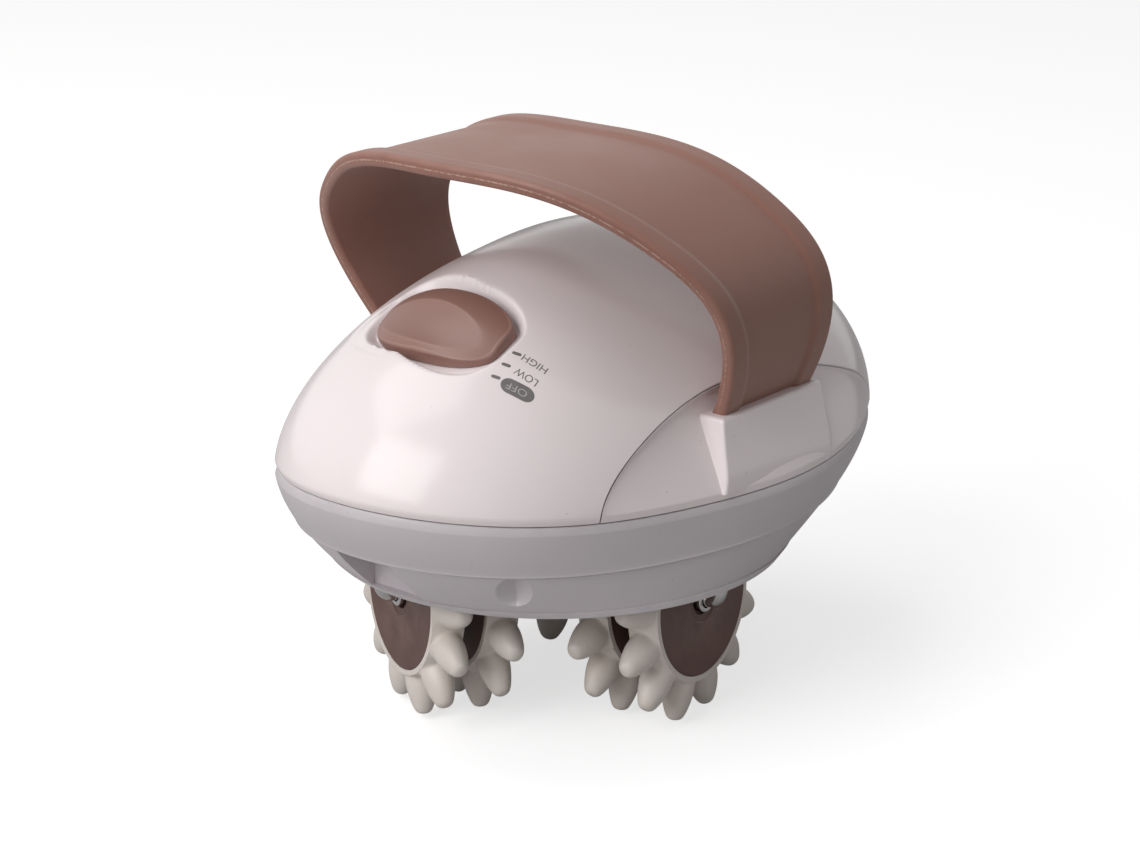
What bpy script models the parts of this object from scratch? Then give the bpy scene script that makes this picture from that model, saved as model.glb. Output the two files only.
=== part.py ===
"""Electric massage roller, in metres with +Z up.

An egg-shaped housing with a hand strap over it carries a rotor below. The rotor turns about the vertical
rotor axis and has three arms, each with two finger wheels that turn on a bent steel rod. The nose with
the switch knob points to -Y and the tail to +Y. The lowest finger tips stand on z = 0.
"""

import math

import bmesh
import bpy
from mathutils import Matrix, Vector

MM = 0.001
DEG = math.pi / 180

# Fits and faces
GAP = 0.3 * MM                      # between pieces that touch
OVERRUN = 2 * MM                    # how far a cutter runs past what it cuts
MERGE = 0.002 * MM                  # points closer than this are one

# Body outline about the rotor axis, seen from above
ROTOR_Y = -4.65 * MM                # the rotor axis lies in front of the middle of the body
SIDE_FLARE = 4 * MM                 # the seam is this much wider than the lip at the sides
SEAM_TAIL_SHIFT = 6.5 * MM
SEAM_OVAL = 10.5 * MM
SEAM_EGG = 2.1 * MM
SEAM_OVER_PLATE = 0.4 * MM          # the seam lies this high over the rotor plate's underside
SEAM_TILT = 0.9 * MM                # rise of the seam towards the tail, for each bow span
SEAM_BOW = 2.9 * MM                 # rise of the seam at nose and tail, at one bow span
SEAM_BOW_SPAN = 50 * MM
SEAM_CHAMFER = 0.8 * MM
SEAM_CHAMFER_HEIGHT = 1.6 * MM

# Dome
MOTOR_HEADROOM = 9.3 * MM           # from the motor's top to the crown
DOME_WALL = 2 * MM
SIDE_POWER = 1.7
LONG_POWER = 2.0
CROWN_SHIFT = 9.6 * MM              # the crown lies this far behind the rotor axis
CROWN_SHIFT_POWER = 1.15
RELIEF_DEPTH = 3.1 * MM              # the dome is drawn in where the strap's foot passes it
RELIEF_Y = 25 * MM
RELIEF_OVER_FOOT = 4.9 * MM
RELIEF_HALF_LENGTH = 24 * MM
RELIEF_HALF_HEIGHT = 15 * MM
DOME_OUTER_ROWS = 9
DOME_INNER_ROWS = 4

# Side panels, each an arch on the side of the dome
ARCH_MIDDLE = 3.3 * DEG
ARCH_HALF = 44.6 * DEG
ARCH_RISE = 24 * MM
ARCH_COLUMNS = 10
TAIL_COLUMNS = 8
NOSE_COLUMNS = 10
PANEL_ROWS = 4
SIDE_DRAW = 4 * MM                  # how far the panel is drawn in below the dome's curve
DRAW_PEAK_SCALE = 2.598             # makes the draw curve's peak 1

# Strap sockets on the side panels
SOCKET_LIP = 0.7 * MM               # the socket's top stands this far over the strap's foot
SOCKET_FLOOR_ROOM = 0.8 * MM        # between the strap's tab and the socket's floor
SOCKET_OUTER_WALL = 1.9 * MM        # of the socket's top, outside the strap's foot
SOCKET_FRONT_WALL = 2.4 * MM
SOCKET_REAR_WALL = 1.8 * MM
SOCKET_INNER_WALL = 5.8 * MM
SOCKET_FRONT_LEAN = 2.8 * MM        # the socket's foot lies this far before its top
SOCKET_REAR_LEAN = 5 * MM
SOCKET_FOOT_RISE = 1.2 * MM
SOCKET_EDGE = 0.8 * MM

# Hand strap
STRAP_THICKNESS = 3.5 * MM
STRAP_BORDER = 6.5 * MM
STRAP_BORDER_PROUD = 0.5 * MM
STRAP_EDGE = 0.9 * MM
STRAP_TOP_WIDTH = 54.7 * MM
STRAP_FOOT_WIDTH = 34.2 * MM
STRAP_EVEN_SHARE = 0.493            # of the strap's taper, spread evenly over its course
STRAP_FOOT_Y = 13.1 * MM
STRAP_LEAN = 26.4 * MM              # the top of the strap leans this far towards the nose
STRAP_FOOT_REACH = 52.3 * MM
STRAP_FOOT_RISE = 17.3 * MM         # over the seam
STRAP_BELLY_REACH = 67.3 * MM
STRAP_BELLY_SHARE = 0.4533          # height of the belly between foot and top
STRAP_SHOULDER_REACH = 49.5 * MM
STRAP_SHOULDER_SHARE = 0.8166
STRAP_TOP_REACH = 27 * MM
HAND_ROOM = 20.6 * MM               # between the crown and the strap
STRAP_SECTIONS = 20
STRAP_END_SHARE = 0.1               # the stretch of the strap that passes its panel
STRAP_END_STEPS = 2
RUN_SHARE = 0.001                   # step along the strap over which its direction is taken
TAB_DEPTH = 8 * MM
TAB_THICKNESS = 3 * MM
TAB_SIDE_STEP = 1 * MM
TAB_WIDTH_CUT = 3 * MM              # the tab is narrower than the strap's foot on each side
STRAP_PIN_RADIUS = 1.3 * MM
STRAP_PIN_LENGTH = 5.4 * MM
PIN_SPACING_SHARE = 0.468           # of the strap's width at its foot
STRAP_PIN_DEPTH = 4.2 * MM

# Lower shell with the well in which the rotor turns
LIP_MARGIN = 3.4 * MM               # from the well to the lip's edge
BODY_DEPTH = 23.4 * MM              # from the seam down to the lip
LIP_BAND = 1.6 * MM
LIP_PROUD = 0.4 * MM
BOWL_POWER = 1.65
STEP_SHARE = 0.5                    # height of the step line between lip and seam
STEP_PROUD = 0.4 * MM
BOWL_WALL = 2.2 * MM
BOWL_ROWS = 4
WELL_CLEARANCE = 1.9 * MM           # round the rotor plate at the well's foot
WELL_DRAFT = 1.2 * MM               # the well is narrower at the ceiling
WELL_WALL = 1.8 * MM
WELL_FOOT_RISE = 1.8 * MM           # over the lip
CEILING_CLEARANCE = 1 * MM          # over the rotor plate
CEILING_WALL = 2.2 * MM
LOWER_COLUMNS = 32

# Skirt ring with its notch and pockets
SKIRT_COLUMNS = 32
SKIRT_ROWS = 2
POCKET_ANGLES = (-59 * DEG, -121 * DEG, 59 * DEG, 121 * DEG)
POCKET_RISE_SHARE = 0.32            # height of the pockets between lip and seam
POCKET_WIDTH = 8.5 * MM
POCKET_TALL = 10.4 * MM
POCKET_DEPTH = 2.4 * MM
NOTCH_HALF = 8.2 * MM
NOTCH_WALL = 1.2 * MM               # left standing behind the notch
NOTCH_RISE = 1.8 * MM               # the notch's foot over the lip

# Housing screws and their posts
SCREW_RADIUS = 1.4 * MM
SCREW_HEAD_RADIUS = 2.7 * MM
SCREW_HEAD_HEIGHT = 1.8 * MM
POST_RADIUS = 3.6 * MM
NOSE_SCREW_X = 20 * MM
NOSE_SCREW_Y = -59.5 * MM
TAIL_SCREW_X = 23 * MM
TAIL_SCREW_Y = 62.5 * MM
POST_FOOT_SHARE = 0.78              # height of the screws' seats between lip and seam
POST_JOINT_RISE = 10.2 * MM         # the posts of both shells meet this far above it
SCREW_LENGTH = 22.4 * MM
ROUND_SIDES = 8
POST_SIDES = 8

# Knob seat in the dome and the knob on its tilted axis
KNOB_Y = -37.4 * MM
KNOB_RISE_SHARE = 0.73725           # height of the knob between seam and crown
KNOB_TILT = 23.6 * DEG
OVAL_POWER = 2.5                    # fuller than an ellipse
SEAT_CLEARANCE = 0.4 * MM           # round the knob in both of its end positions
SEAT_DEPTH = 2.6 * MM
SEAT_FLOOR = 2.2 * MM
SEAT_RIM = 2.2 * MM
SEAT_STEPS = 2
KNOB_TURN = 20 * DEG                # from HIGH back to OFF
KNOB_LENGTH = 18.3 * MM
KNOB_WIDTH = 9.8 * MM
KNOB_SHIFT = -1.6 * MM              # the knob's middle lies this far down the slope from its axis
KNOB_POINTER = 17.4 * MM            # the pointer end is cut straight here
KNOB_SIDE = 5.1 * MM
KNOB_CROWN = 6.2 * MM
KNOB_EDGE = 0.8 * MM
KNOB_SIDES = 22
KNOB_SHOULDER_SHARE = 0.6
SCOOP_LENGTH = 14 * MM
SCOOP_WIDTH = 7.2 * MM
SCOOP_DEPTH = 1.6 * MM
SCOOP_SHIFT = -3.2 * MM
SCOOP_RISE = 2.2 * MM
SCOOP_PROFILE_SHARES = ((0, -1), (0.62, -0.78), (0.95, -0.3), (1, 0), (0.7, 0.7), (0, 1))
STEM_RADIUS = 3 * MM
STEM_LENGTH = 10 * MM
SWITCH_SIZE = 15 * MM
SWITCH_HEIGHT = 9 * MM

# Rotor
ARM_COUNT = 3
FIRST_ARM = 5.6 * DEG
AXLE_TILT = 2.87 * DEG              # the outer end of each axle is higher
AXLE_HEIGHT = 28.42 * MM            # where the tilted axles would meet the rotor axis
WHEEL_CLEARANCE = 2.09 * MM         # between the inner wheels' backs, over what their fingers need
WHEEL_PITCH = 13.75 * MM
PLATE_CLEARANCE = 3.08 * MM         # over the finger tips
PLATE_THICKNESS = 2.6 * MM
PLATE_MARGIN = 3.8 * MM             # from the outer leg's middle to the plate's edge
PLATE_RIM = 1.6 * MM
PLATE_RIM_DROP = 1.4 * MM
PLATE_HUB_RADIUS = 8 * MM
PLATE_HUB_DROP = 5 * MM
PLATE_COLUMNS = 24
ROD_RADIUS = 2 * MM
ROD_BEND = 3.2 * MM
ROD_LEG_ROOM = 4.4 * MM             # from the outer wheel's face to the leg's middle
ROD_INNER_LEG = 13 * MM
ROD_SIDES = 8
ROD_BEND_STEPS = 3
LEG_BOSS_RADIUS = 3.6 * MM
LEG_BOSS_DROP = 4 * MM
LEG_BOSS_FLOOR = 0.8 * MM

# Finger wheels
HUB_RADIUS = 18.6 * MM
HUB_SEAT_TAPER = 1.6 * MM           # the tyre's seat is narrower at the back, so the tyre can't creep forward
HUB_LENGTH = 8.4 * MM
HUB_BORE = 2.3 * MM
HUB_HOLE_RADIUS = 4.1 * MM
HUB_HOLE_DEPTH = 1.6 * MM
HUB_SIDES = 18
TYRE_RADIUS = 20.6 * MM
TYRE_FACE_RADIUS = 20 * MM
TYRE_WIDTH = 8.2 * MM
FINGER_COUNT = 13
FINGER_TIP = 29.9 * MM
FINGER_FOOT_RADIUS = 3.9 * MM
FINGER_END_RADIUS = 3 * MM
FINGER_BACK = 3.9 * MM              # finger axes behind the wheel's outer face
FINGER_SHOULDER = 2.6 * MM          # the finger's round end starts this far below its tip
FINGER_EDGE_SHARE = 0.5             # the foot is narrower at the tyre's faces
OUTER_PHASE_SHARES = (0.42, 0.5, 0.5)
INNER_PHASE_SHARES = (0.25, 0.29, 0.675)
WASHER_RADIUS = 3.3 * MM
WASHER_THICKNESS = 1.2 * MM
WASHER_SIDES = 8

# Gear train
SHAFT_RADIUS = 3 * MM
SHAFT_FOOT_DROP = 3.9 * MM          # below the plate's underside
SHAFT_TOP_REACH = 3 * MM            # over the clip's seat
BUSH_RADIUS = 6 * MM
BUSH_FLANGE_RADIUS = 8 * MM
BUSH_FLANGE = 1.4 * MM
OUTPUT_TEETH = 32
OUTPUT_MODULE = 1.25 * MM
IDLER_PINION_TEETH = 8
IDLER_TEETH = 30
MOTOR_TEETH = 10
MOTOR_MODULE = 0.8 * MM
OUTPUT_FACE = 5.6 * MM
IDLER_FACE = 3.6 * MM
BACKLASH_SHARE = 0.09               # tooth left out on each flank, as a share of the tooth pitch
ADDENDUM_SHARE = 0.85
DEDENDUM_SHARE = 1.2
PRESSURE_ANGLE = 20 * DEG
GEAR_STEP = 0.9 * MM
IDLER_PIN_RADIUS = 1.6 * MM
CLIP_THICKNESS = 0.8 * MM
CHASSIS_CLEARANCE = 2.5 * MM        # over the idler gear
CHASSIS_THICKNESS = 2.4 * MM
CHASSIS_MARGIN = 5 * MM
CHASSIS_CORNER_STEPS = 3
CHASSIS_FRONT_X = 24 * MM
CHASSIS_FRONT_Y = -9 * MM
CHASSIS_REAR_Y = 42 * MM
PILLAR_RADIUS = 3 * MM
MOTOR_RADIUS = 14.8 * MM
MOTOR_HEIGHT = 19 * MM
MOTOR_BOSS_RADIUS = 3.5 * MM
MOTOR_BOSS = 1.2 * MM
MOTOR_EDGE = 1 * MM
MOTOR_SHAFT_RADIUS = 1.2 * MM
MOTOR_SHAFT_REACH = 8 * MM
MOTOR_SIDES = 18

# Circuit board and the gland of the lead
BOARD_LENGTH = 32 * MM
BOARD_WIDTH = 17 * MM
BOARD_THICKNESS = 1.6 * MM
BOARD_Y = -36 * MM
BOARD_STAND = 2 * MM
BOARD_POST_RADIUS = 2.4 * MM
BOARD_POST_X = 11 * MM
GLAND_DROP = 0.8 * MM               # below the seam height
GLAND_RADIUS = 4 * MM
GLAND_FLANGE_RADIUS = 5.6 * MM
GLAND_FLANGE = 1.6 * MM
GLAND_BORE = 2.2 * MM
GLAND_LENGTH = 9 * MM
GLAND_DROOP = 35 * DEG
GLAND_PROUD = 0.6 * MM

# Where the wheels, the plate and the body's outline lie, outwards from the rotor axis
INNER_FACE = FINGER_TIP / math.tan(math.pi / ARM_COUNT) + WHEEL_CLEARANCE + HUB_LENGTH
OUTER_FACE = INNER_FACE + WHEEL_PITCH
ROD_OUTER_LEG = OUTER_FACE + ROD_LEG_ROOM
PLATE_RADIUS = ROD_OUTER_LEG + PLATE_MARGIN
WELL_RADIUS = PLATE_RADIUS + WELL_CLEARANCE
WELL_TOP_RADIUS = WELL_RADIUS - WELL_DRAFT
LIP_RADIUS = WELL_RADIUS + LIP_MARGIN
SEAM_REACH = LIP_RADIUS + SIDE_FLARE + SEAM_OVAL

# The sockets lie round the feet of the strap
SOCKET_TOP_REACH = STRAP_FOOT_REACH + SOCKET_OUTER_WALL
SOCKET_INSIDE = STRAP_FOOT_REACH - STRAP_THICKNESS - SOCKET_INNER_WALL
SOCKET_TOP_FRONT = STRAP_FOOT_Y - STRAP_FOOT_WIDTH / 2 - SOCKET_FRONT_WALL
SOCKET_TOP_REAR = STRAP_FOOT_Y + STRAP_FOOT_WIDTH / 2 + SOCKET_REAR_WALL
SOCKET_FOOT_FRONT = SOCKET_TOP_FRONT - SOCKET_FRONT_LEAN
SOCKET_FOOT_REAR = SOCKET_TOP_REAR - SOCKET_REAR_LEAN
STRAP_PIN_SPACING = PIN_SPACING_SHARE * STRAP_FOOT_WIDTH

# Heights, stacked up from the wheels' axles
PLATE_UNDERSIDE = AXLE_HEIGHT + FINGER_TIP + PLATE_CLEARANCE
SHAFT_FOOT = PLATE_UNDERSIDE - SHAFT_FOOT_DROP
CEILING = PLATE_UNDERSIDE + PLATE_THICKNESS + CEILING_CLEARANCE
CEILING_TOP = CEILING + CEILING_WALL
OUTPUT_LEVEL = CEILING_TOP + BUSH_FLANGE + 2 * GAP
CLIP_LEVEL = OUTPUT_LEVEL + OUTPUT_FACE + GAP
SHAFT_TOP = CLIP_LEVEL + CLIP_THICKNESS + SHAFT_TOP_REACH
IDLER_LEVEL = OUTPUT_LEVEL + OUTPUT_FACE + GEAR_STEP
CHASSIS_UNDERSIDE = IDLER_LEVEL + IDLER_FACE + CHASSIS_CLEARANCE
CHASSIS_TOP = CHASSIS_UNDERSIDE + CHASSIS_THICKNESS
MOTOR_FOOT = CHASSIS_TOP + GAP
SEAM_HEIGHT = PLATE_UNDERSIDE + SEAM_OVER_PLATE
LIP_HEIGHT = SEAM_HEIGHT - BODY_DEPTH
WELL_FOOT = LIP_HEIGHT + WELL_FOOT_RISE
POCKET_HEIGHT = LIP_HEIGHT + POCKET_RISE_SHARE * BODY_DEPTH
NOTCH_FOOT = LIP_HEIGHT + NOTCH_RISE
GLAND_HEIGHT = SEAM_HEIGHT - GLAND_DROP
POST_FOOT = LIP_HEIGHT + POST_FOOT_SHARE * BODY_DEPTH
POST_JOINT = SEAM_HEIGHT + POST_JOINT_RISE
DOME_RISE = MOTOR_FOOT + MOTOR_HEIGHT + MOTOR_HEADROOM - SEAM_HEIGHT
KNOB_HEIGHT = SEAM_HEIGHT + KNOB_RISE_SHARE * DOME_RISE
STRAP_FOOT_HEIGHT = SEAM_HEIGHT + STRAP_FOOT_RISE
STRAP_TOP_HEIGHT = SEAM_HEIGHT + DOME_RISE + HAND_ROOM + STRAP_THICKNESS
STRAP_RISE = STRAP_TOP_HEIGHT - STRAP_FOOT_HEIGHT
STRAP_BELLY_HEIGHT = STRAP_FOOT_HEIGHT + STRAP_BELLY_SHARE * STRAP_RISE
STRAP_SHOULDER_HEIGHT = STRAP_FOOT_HEIGHT + STRAP_SHOULDER_SHARE * STRAP_RISE
SOCKET_TOP = STRAP_FOOT_HEIGHT + SOCKET_LIP
SOCKET_FLOOR = STRAP_FOOT_HEIGHT - TAB_DEPTH - SOCKET_FLOOR_ROOM
RELIEF_HEIGHT = STRAP_FOOT_HEIGHT + RELIEF_OVER_FOOT

# Materials: base colour, roughness, metallic
WHITE_GLOSS = (0.86, 0.80, 0.80, 0.16, 0.0)
WHITE_SATIN = (0.78, 0.74, 0.75, 0.34, 0.0)
BROWN_RUBBER = (0.26, 0.115, 0.085, 0.62, 0.0)
BROWN_MATTE = (0.29, 0.15, 0.115, 0.5, 0.0)
BROWN_HUB = (0.16, 0.065, 0.05, 0.5, 0.0)
CREAM_SILICONE = (0.72, 0.66, 0.58, 0.45, 0.0)
STEEL = (0.62, 0.62, 0.62, 0.22, 1.0)
NATURAL_NYLON = (0.78, 0.76, 0.68, 0.45, 0.0)
DARK_PLASTIC = (0.05, 0.05, 0.055, 0.5, 0.0)
BOARD_GREEN = (0.03, 0.16, 0.07, 0.45, 0.0)
BRONZE = (0.5, 0.34, 0.16, 0.35, 1.0)


def clear_scene():
    """Remove every object of the scene."""
    for item in list(bpy.data.objects):
        bpy.data.objects.remove(item, do_unlink=True)


def material(name, look):
    """A Principled material from a base colour, a roughness and a metallic value."""
    made = bpy.data.materials.new(name)
    made.use_nodes = True
    shader = made.node_tree.nodes["Principled BSDF"]
    red, green, blue, roughness, metallic = look
    shader.inputs["Base Color"].default_value = (red, green, blue, 1)
    shader.inputs["Roughness"].default_value = roughness
    shader.inputs["Metallic"].default_value = metallic
    made.diffuse_color = (red, green, blue, 1)
    return made


def tidy_mesh(mesh, smooth_angle):
    """Merge doubled points, drop empty faces, face everything outward and shade round faces smooth."""
    shape = bmesh.new()
    shape.from_mesh(mesh)
    bmesh.ops.remove_doubles(shape, verts=shape.verts, dist=MERGE)
    bmesh.ops.dissolve_degenerate(shape, edges=shape.edges, dist=MERGE)
    bmesh.ops.recalc_face_normals(shape, faces=shape.faces)
    shape.to_mesh(mesh)
    shape.free()
    mesh.shade_smooth()
    mesh.set_sharp_from_angle(angle=smooth_angle)


def add_object(name, points, faces, look=None, parent=None, smooth_angle=35 * DEG):
    """One named object from points and faces, with a material of its own."""
    mesh = bpy.data.meshes.new(name)
    mesh.from_pydata([tuple(point) for point in points], [], faces)
    tidy_mesh(mesh, smooth_angle)
    item = bpy.data.objects.new(name, mesh)
    bpy.context.scene.collection.objects.link(item)
    if look is not None:
        mesh.materials.append(material(name, look))
    item.parent = parent
    return item


def add_empty(name, location, parent=None, rotation=None):
    """An empty that carries moving pieces on their axis."""
    item = bpy.data.objects.new(name, None)
    bpy.context.scene.collection.objects.link(item)
    item.parent = parent
    item.matrix_local = Matrix.Translation(location) @ (rotation or Matrix())
    return item


def combine(target, tool, operation):
    """Apply a boolean of the tool, drawn in the target's own frame, to the target, then remove the tool."""
    tool.parent = target.parent
    step = target.modifiers.new("combine", "BOOLEAN")
    step.operation = operation
    step.solver = "EXACT"
    step.object = tool
    bpy.context.view_layer.update()
    graph = bpy.context.evaluated_depsgraph_get()
    shaped = bpy.data.meshes.new_from_object(target.evaluated_get(graph))
    target.modifiers.clear()
    target.data = shaped
    bpy.data.objects.remove(tool, do_unlink=True)
    tidy_mesh(shaped, 35 * DEG)


def grid_faces(rows, columns, start=0, wrap_rows=False, wrap_columns=False, flip=False):
    """Quads over a grid of points that is stored row by row."""
    faces = []
    for row in range(rows if wrap_rows else rows - 1):
        for column in range(columns if wrap_columns else columns - 1):
            next_row = (row + 1) % rows
            next_column = (column + 1) % columns
            quad = [row * columns + column, row * columns + next_column,
                    next_row * columns + next_column, next_row * columns + column]
            quad = [start + index for index in quad]
            faces.append(quad[::-1] if flip else quad)
    return faces


def shell_between(name, outer, inner, wrap, look=None, parent=None):
    """A closed wall between an outer and an inner grid with equal columns, joined along their first rows.

    Where the columns wrap round, both grids end in a pole. Where they don't, both have equal rows, and the
    wall is closed along its sides and last rows too.
    """
    columns = len(outer[0])
    points = [point for row in outer for point in row] + [point for row in inner for point in row]
    start = len(outer) * columns
    faces = grid_faces(len(outer), columns, 0, wrap_columns=wrap)
    faces += grid_faces(len(inner), columns, start, wrap_columns=wrap, flip=True)
    for column in range(columns if wrap else columns - 1):
        after = (column + 1) % columns
        faces.append([column, start + column, start + after, after])
        if not wrap:
            last = (len(outer) - 1) * columns
            faces.append([last + column, last + after, start + last + after, start + last + column])
    if not wrap:
        for row in range(len(outer) - 1):
            for edge in (0, columns - 1):
                here = row * columns + edge
                above = here + columns
                faces.append([here, above, start + above, start + here])
    return add_object(name, points, faces, look, parent)


def swept_ring(name, sections, look=None, parent=None):
    """A closed ring from closed sections, one for each column, all with the same number of points."""
    points = [point for section in sections for point in section]
    faces = grid_faces(len(sections), len(sections[0]), 0, wrap_rows=True, wrap_columns=True)
    return add_object(name, points, faces, look, parent)


def loft(name, sections, look=None, parent=None):
    """A solid through closed sections with equal numbers of points, capped at both ends."""
    count = len(sections[0])
    points = [point for section in sections for point in section]
    faces = grid_faces(len(sections), count, 0, wrap_columns=True)
    faces.append(list(range(count)))
    faces.append(list(range(len(points) - count, len(points)))[::-1])
    return add_object(name, points, faces, look, parent)


def turned(name, profile, sides, look=None, parent=None, bored=False, along_x=False):
    """A solid of revolution about Z, or about X, from (radius, place) points.

    A bored profile is a closed loop. Any other starts and ends on the axis.
    """
    sections = []
    for side in range(sides):
        angle = 2 * math.pi * side / sides
        section = []
        for radius, place in profile:
            if along_x:
                section.append(Vector((place, radius * math.cos(angle), radius * math.sin(angle))))
            else:
                section.append(Vector((radius * math.cos(angle), radius * math.sin(angle), place)))
        sections.append(section)
    points = [point for section in sections for point in section]
    faces = grid_faces(sides, len(profile), 0, wrap_rows=True, wrap_columns=bored)
    return add_object(name, points, faces, look, parent)


def rod(name, radius, start, end, sides, look=None, parent=None):
    """A straight round bar between two points."""
    start = Vector(start)
    end = Vector(end)
    item = turned(name, [(0, 0), (radius, 0), (radius, (end - start).length), (0, (end - start).length)],
                  sides, look, parent)
    turn = (end - start).to_track_quat("Z", "Y").to_matrix().to_4x4()
    item.data.transform(Matrix.Translation(start) @ turn)
    return item


def bore(target, radius, start, end, sides, frame=None):
    """Cut a round hole for a pin of this radius. The flats of the faceted hole keep the gap too."""
    tool = rod("bore", (radius + GAP) / math.cos(math.pi / sides), start, end, sides)
    if frame is not None:
        tool.data.transform(frame)
    combine(target, tool, "DIFFERENCE")


def prism(name, outline, bottom, top, look=None, parent=None):
    """An upright prism over a closed outline of (x, y) points."""
    count = len(outline)
    points = [Vector((x, y, bottom)) for x, y in outline] + [Vector((x, y, top)) for x, y in outline]
    faces = [list(range(count))[::-1], list(range(count, 2 * count))]
    for index in range(count):
        after = (index + 1) % count
        faces.append([index, after, count + after, count + index])
    return add_object(name, points, faces, look, parent)


def eight_corner_block(name, lower, upper, look=None, parent=None):
    """A block from four lower and four upper corners, each list going round the same way."""
    faces = [[3, 2, 1, 0], [4, 5, 6, 7]]
    faces += [[side, (side + 1) % 4, 4 + (side + 1) % 4, 4 + side] for side in range(4)]
    return add_object(name, [Vector(corner) for corner in lower + upper], faces, look, parent)


def seam_reach(angle, inset=0.0):
    """Distance of the seam from the rotor axis in one direction."""
    return (SEAM_REACH - inset + SEAM_TAIL_SHIFT * math.sin(angle)
            - SEAM_OVAL * math.cos(2 * angle) + SEAM_EGG * math.sin(3 * angle))


def seam_bow(y):
    """Height of the seam over its lowest stretch: it rises towards nose and tail."""
    share = y / SEAM_BOW_SPAN
    return SEAM_TILT * share + SEAM_BOW * share ** 2


def dome_point(angle, rise_share, inset=0.0):
    """A point of the dome: a superellipse over the seam outline, with its crown shifted to the tail.

    On each side a smooth relief draws it in by up to the relief's depth.
    """
    reach = seam_reach(angle, inset)
    side = max(0.0, 1 - rise_share ** SIDE_POWER) ** (1 / SIDE_POWER)
    along = max(0.0, 1 - rise_share ** LONG_POWER) ** (1 / LONG_POWER)
    x = reach * math.cos(angle) * side
    y = reach * math.sin(angle) * along
    bow = seam_bow(seam_reach(angle) * math.sin(angle) * along)
    z = SEAM_HEIGHT + GAP / 2 + (DOME_RISE - inset) * rise_share + bow * (1 - rise_share)
    y += CROWN_SHIFT * rise_share ** CROWN_SHIFT_POWER
    away = ((y - RELIEF_Y) / RELIEF_HALF_LENGTH) ** 2 + ((z - RELIEF_HEIGHT) / RELIEF_HALF_HEIGHT) ** 2
    x -= math.copysign(RELIEF_DEPTH * max(0.0, 1 - away) ** 2, math.cos(angle))
    return Vector((x, y, z))


def arch_columns(shrink=0.0):
    """(angle, rise share) along the arch of the right side panel, drawn in by a clearance."""
    half = ARCH_HALF - shrink / SEAM_REACH
    rise = (ARCH_RISE - shrink) / DOME_RISE
    columns = []
    for step in range(ARCH_COLUMNS + 1):
        turn = math.pi * step / ARCH_COLUMNS
        columns.append((ARCH_MIDDLE - half * math.cos(turn), rise * math.sin(turn)))
    return columns


def dome_columns():
    """(angle, rise share of the lower edge) of the upper shell's columns, once round."""
    right = arch_columns()
    left = [(math.pi - angle, share) for angle, share in reversed(right)]
    tail_start = right[-1][0]
    tail_sweep = left[0][0] - tail_start
    nose_start = left[-1][0]
    nose_sweep = right[0][0] + 2 * math.pi - nose_start
    columns = list(right)
    columns += [(tail_start + tail_sweep * step / TAIL_COLUMNS, 0.0) for step in range(1, TAIL_COLUMNS)]
    columns += left
    columns += [(nose_start + nose_sweep * step / NOSE_COLUMNS, 0.0) for step in range(1, NOSE_COLUMNS)]
    return columns


def dome_grid(rows, inset, chamfer):
    """Rows of dome points from the lower edge to the crown, closer together near the edge."""
    grid = []
    columns = dome_columns()
    if chamfer:
        grid.append([dome_point(angle, share, inset + (0 if share else chamfer)) for angle, share in columns])
    for row in range(rows + 1):
        climb = math.sin(math.pi / 2 * row / rows)
        line = []
        for angle, share in columns:
            lowest = share
            if chamfer and not share:
                lowest = SEAM_CHAMFER_HEIGHT / DOME_RISE
            elif chamfer:
                lowest = share + (1 - share) * SEAM_CHAMFER_HEIGHT / DOME_RISE / 2
            line.append(dome_point(angle, lowest + (1 - lowest) * climb, inset))
        grid.append(line)
    return grid


def knob_frame():
    """Rotor-axis frame of the knob: X across, Y up the slope, Z out along the knob's axis."""
    return Matrix.Translation((0, KNOB_Y, KNOB_HEIGHT)) @ Matrix.Rotation(KNOB_TILT, 4, "X")


def oval(length, width, sides):
    """Points of an ellipse."""
    return [(length * math.cos(2 * math.pi * side / sides), width * math.sin(2 * math.pi * side / sides))
            for side in range(sides)]


def knob_outline(grow=0.0):
    """Points of the knob's outline: an oval fuller than an ellipse, cut straight at the pointer."""
    outline = []
    for across, along in oval(1, 1, KNOB_SIDES):
        length = KNOB_LENGTH + grow
        width = KNOB_WIDTH + grow
        reach = (abs(across / length) ** OVAL_POWER + abs(along / width) ** OVAL_POWER) ** (-1 / OVAL_POWER)
        outline.append((min(across * reach, KNOB_POINTER + grow), along * reach + KNOB_SHIFT))
    return outline


def seat_outline(grow=0.0):
    """Outline round everything that the knob passes when it turns, with a clearance."""
    shape = bmesh.new()
    for step in range(SEAT_STEPS + 1):
        turn = Matrix.Rotation(-KNOB_TURN * step / SEAT_STEPS, 3, "Z")
        for x, y in knob_outline(SEAT_CLEARANCE + grow):
            shape.verts.new(turn @ Vector((x, y, 0)))
    hull = bmesh.ops.convex_hull(shape, input=shape.verts)
    inside = set(hull["geom_interior"]) | set(hull["geom_unused"])
    outline = [vert.co.copy() for vert in shape.verts if vert not in inside]
    shape.free()
    return [(point.x, point.y) for point in sorted(outline, key=lambda point: math.atan2(point.y, point.x))]


def screw_places():
    """Places of the four housing screws about the rotor axis."""
    return [(side * x, y) for x, y in ((NOSE_SCREW_X, NOSE_SCREW_Y), (TAIL_SCREW_X, TAIL_SCREW_Y))
            for side in (-1, 1)]


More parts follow.
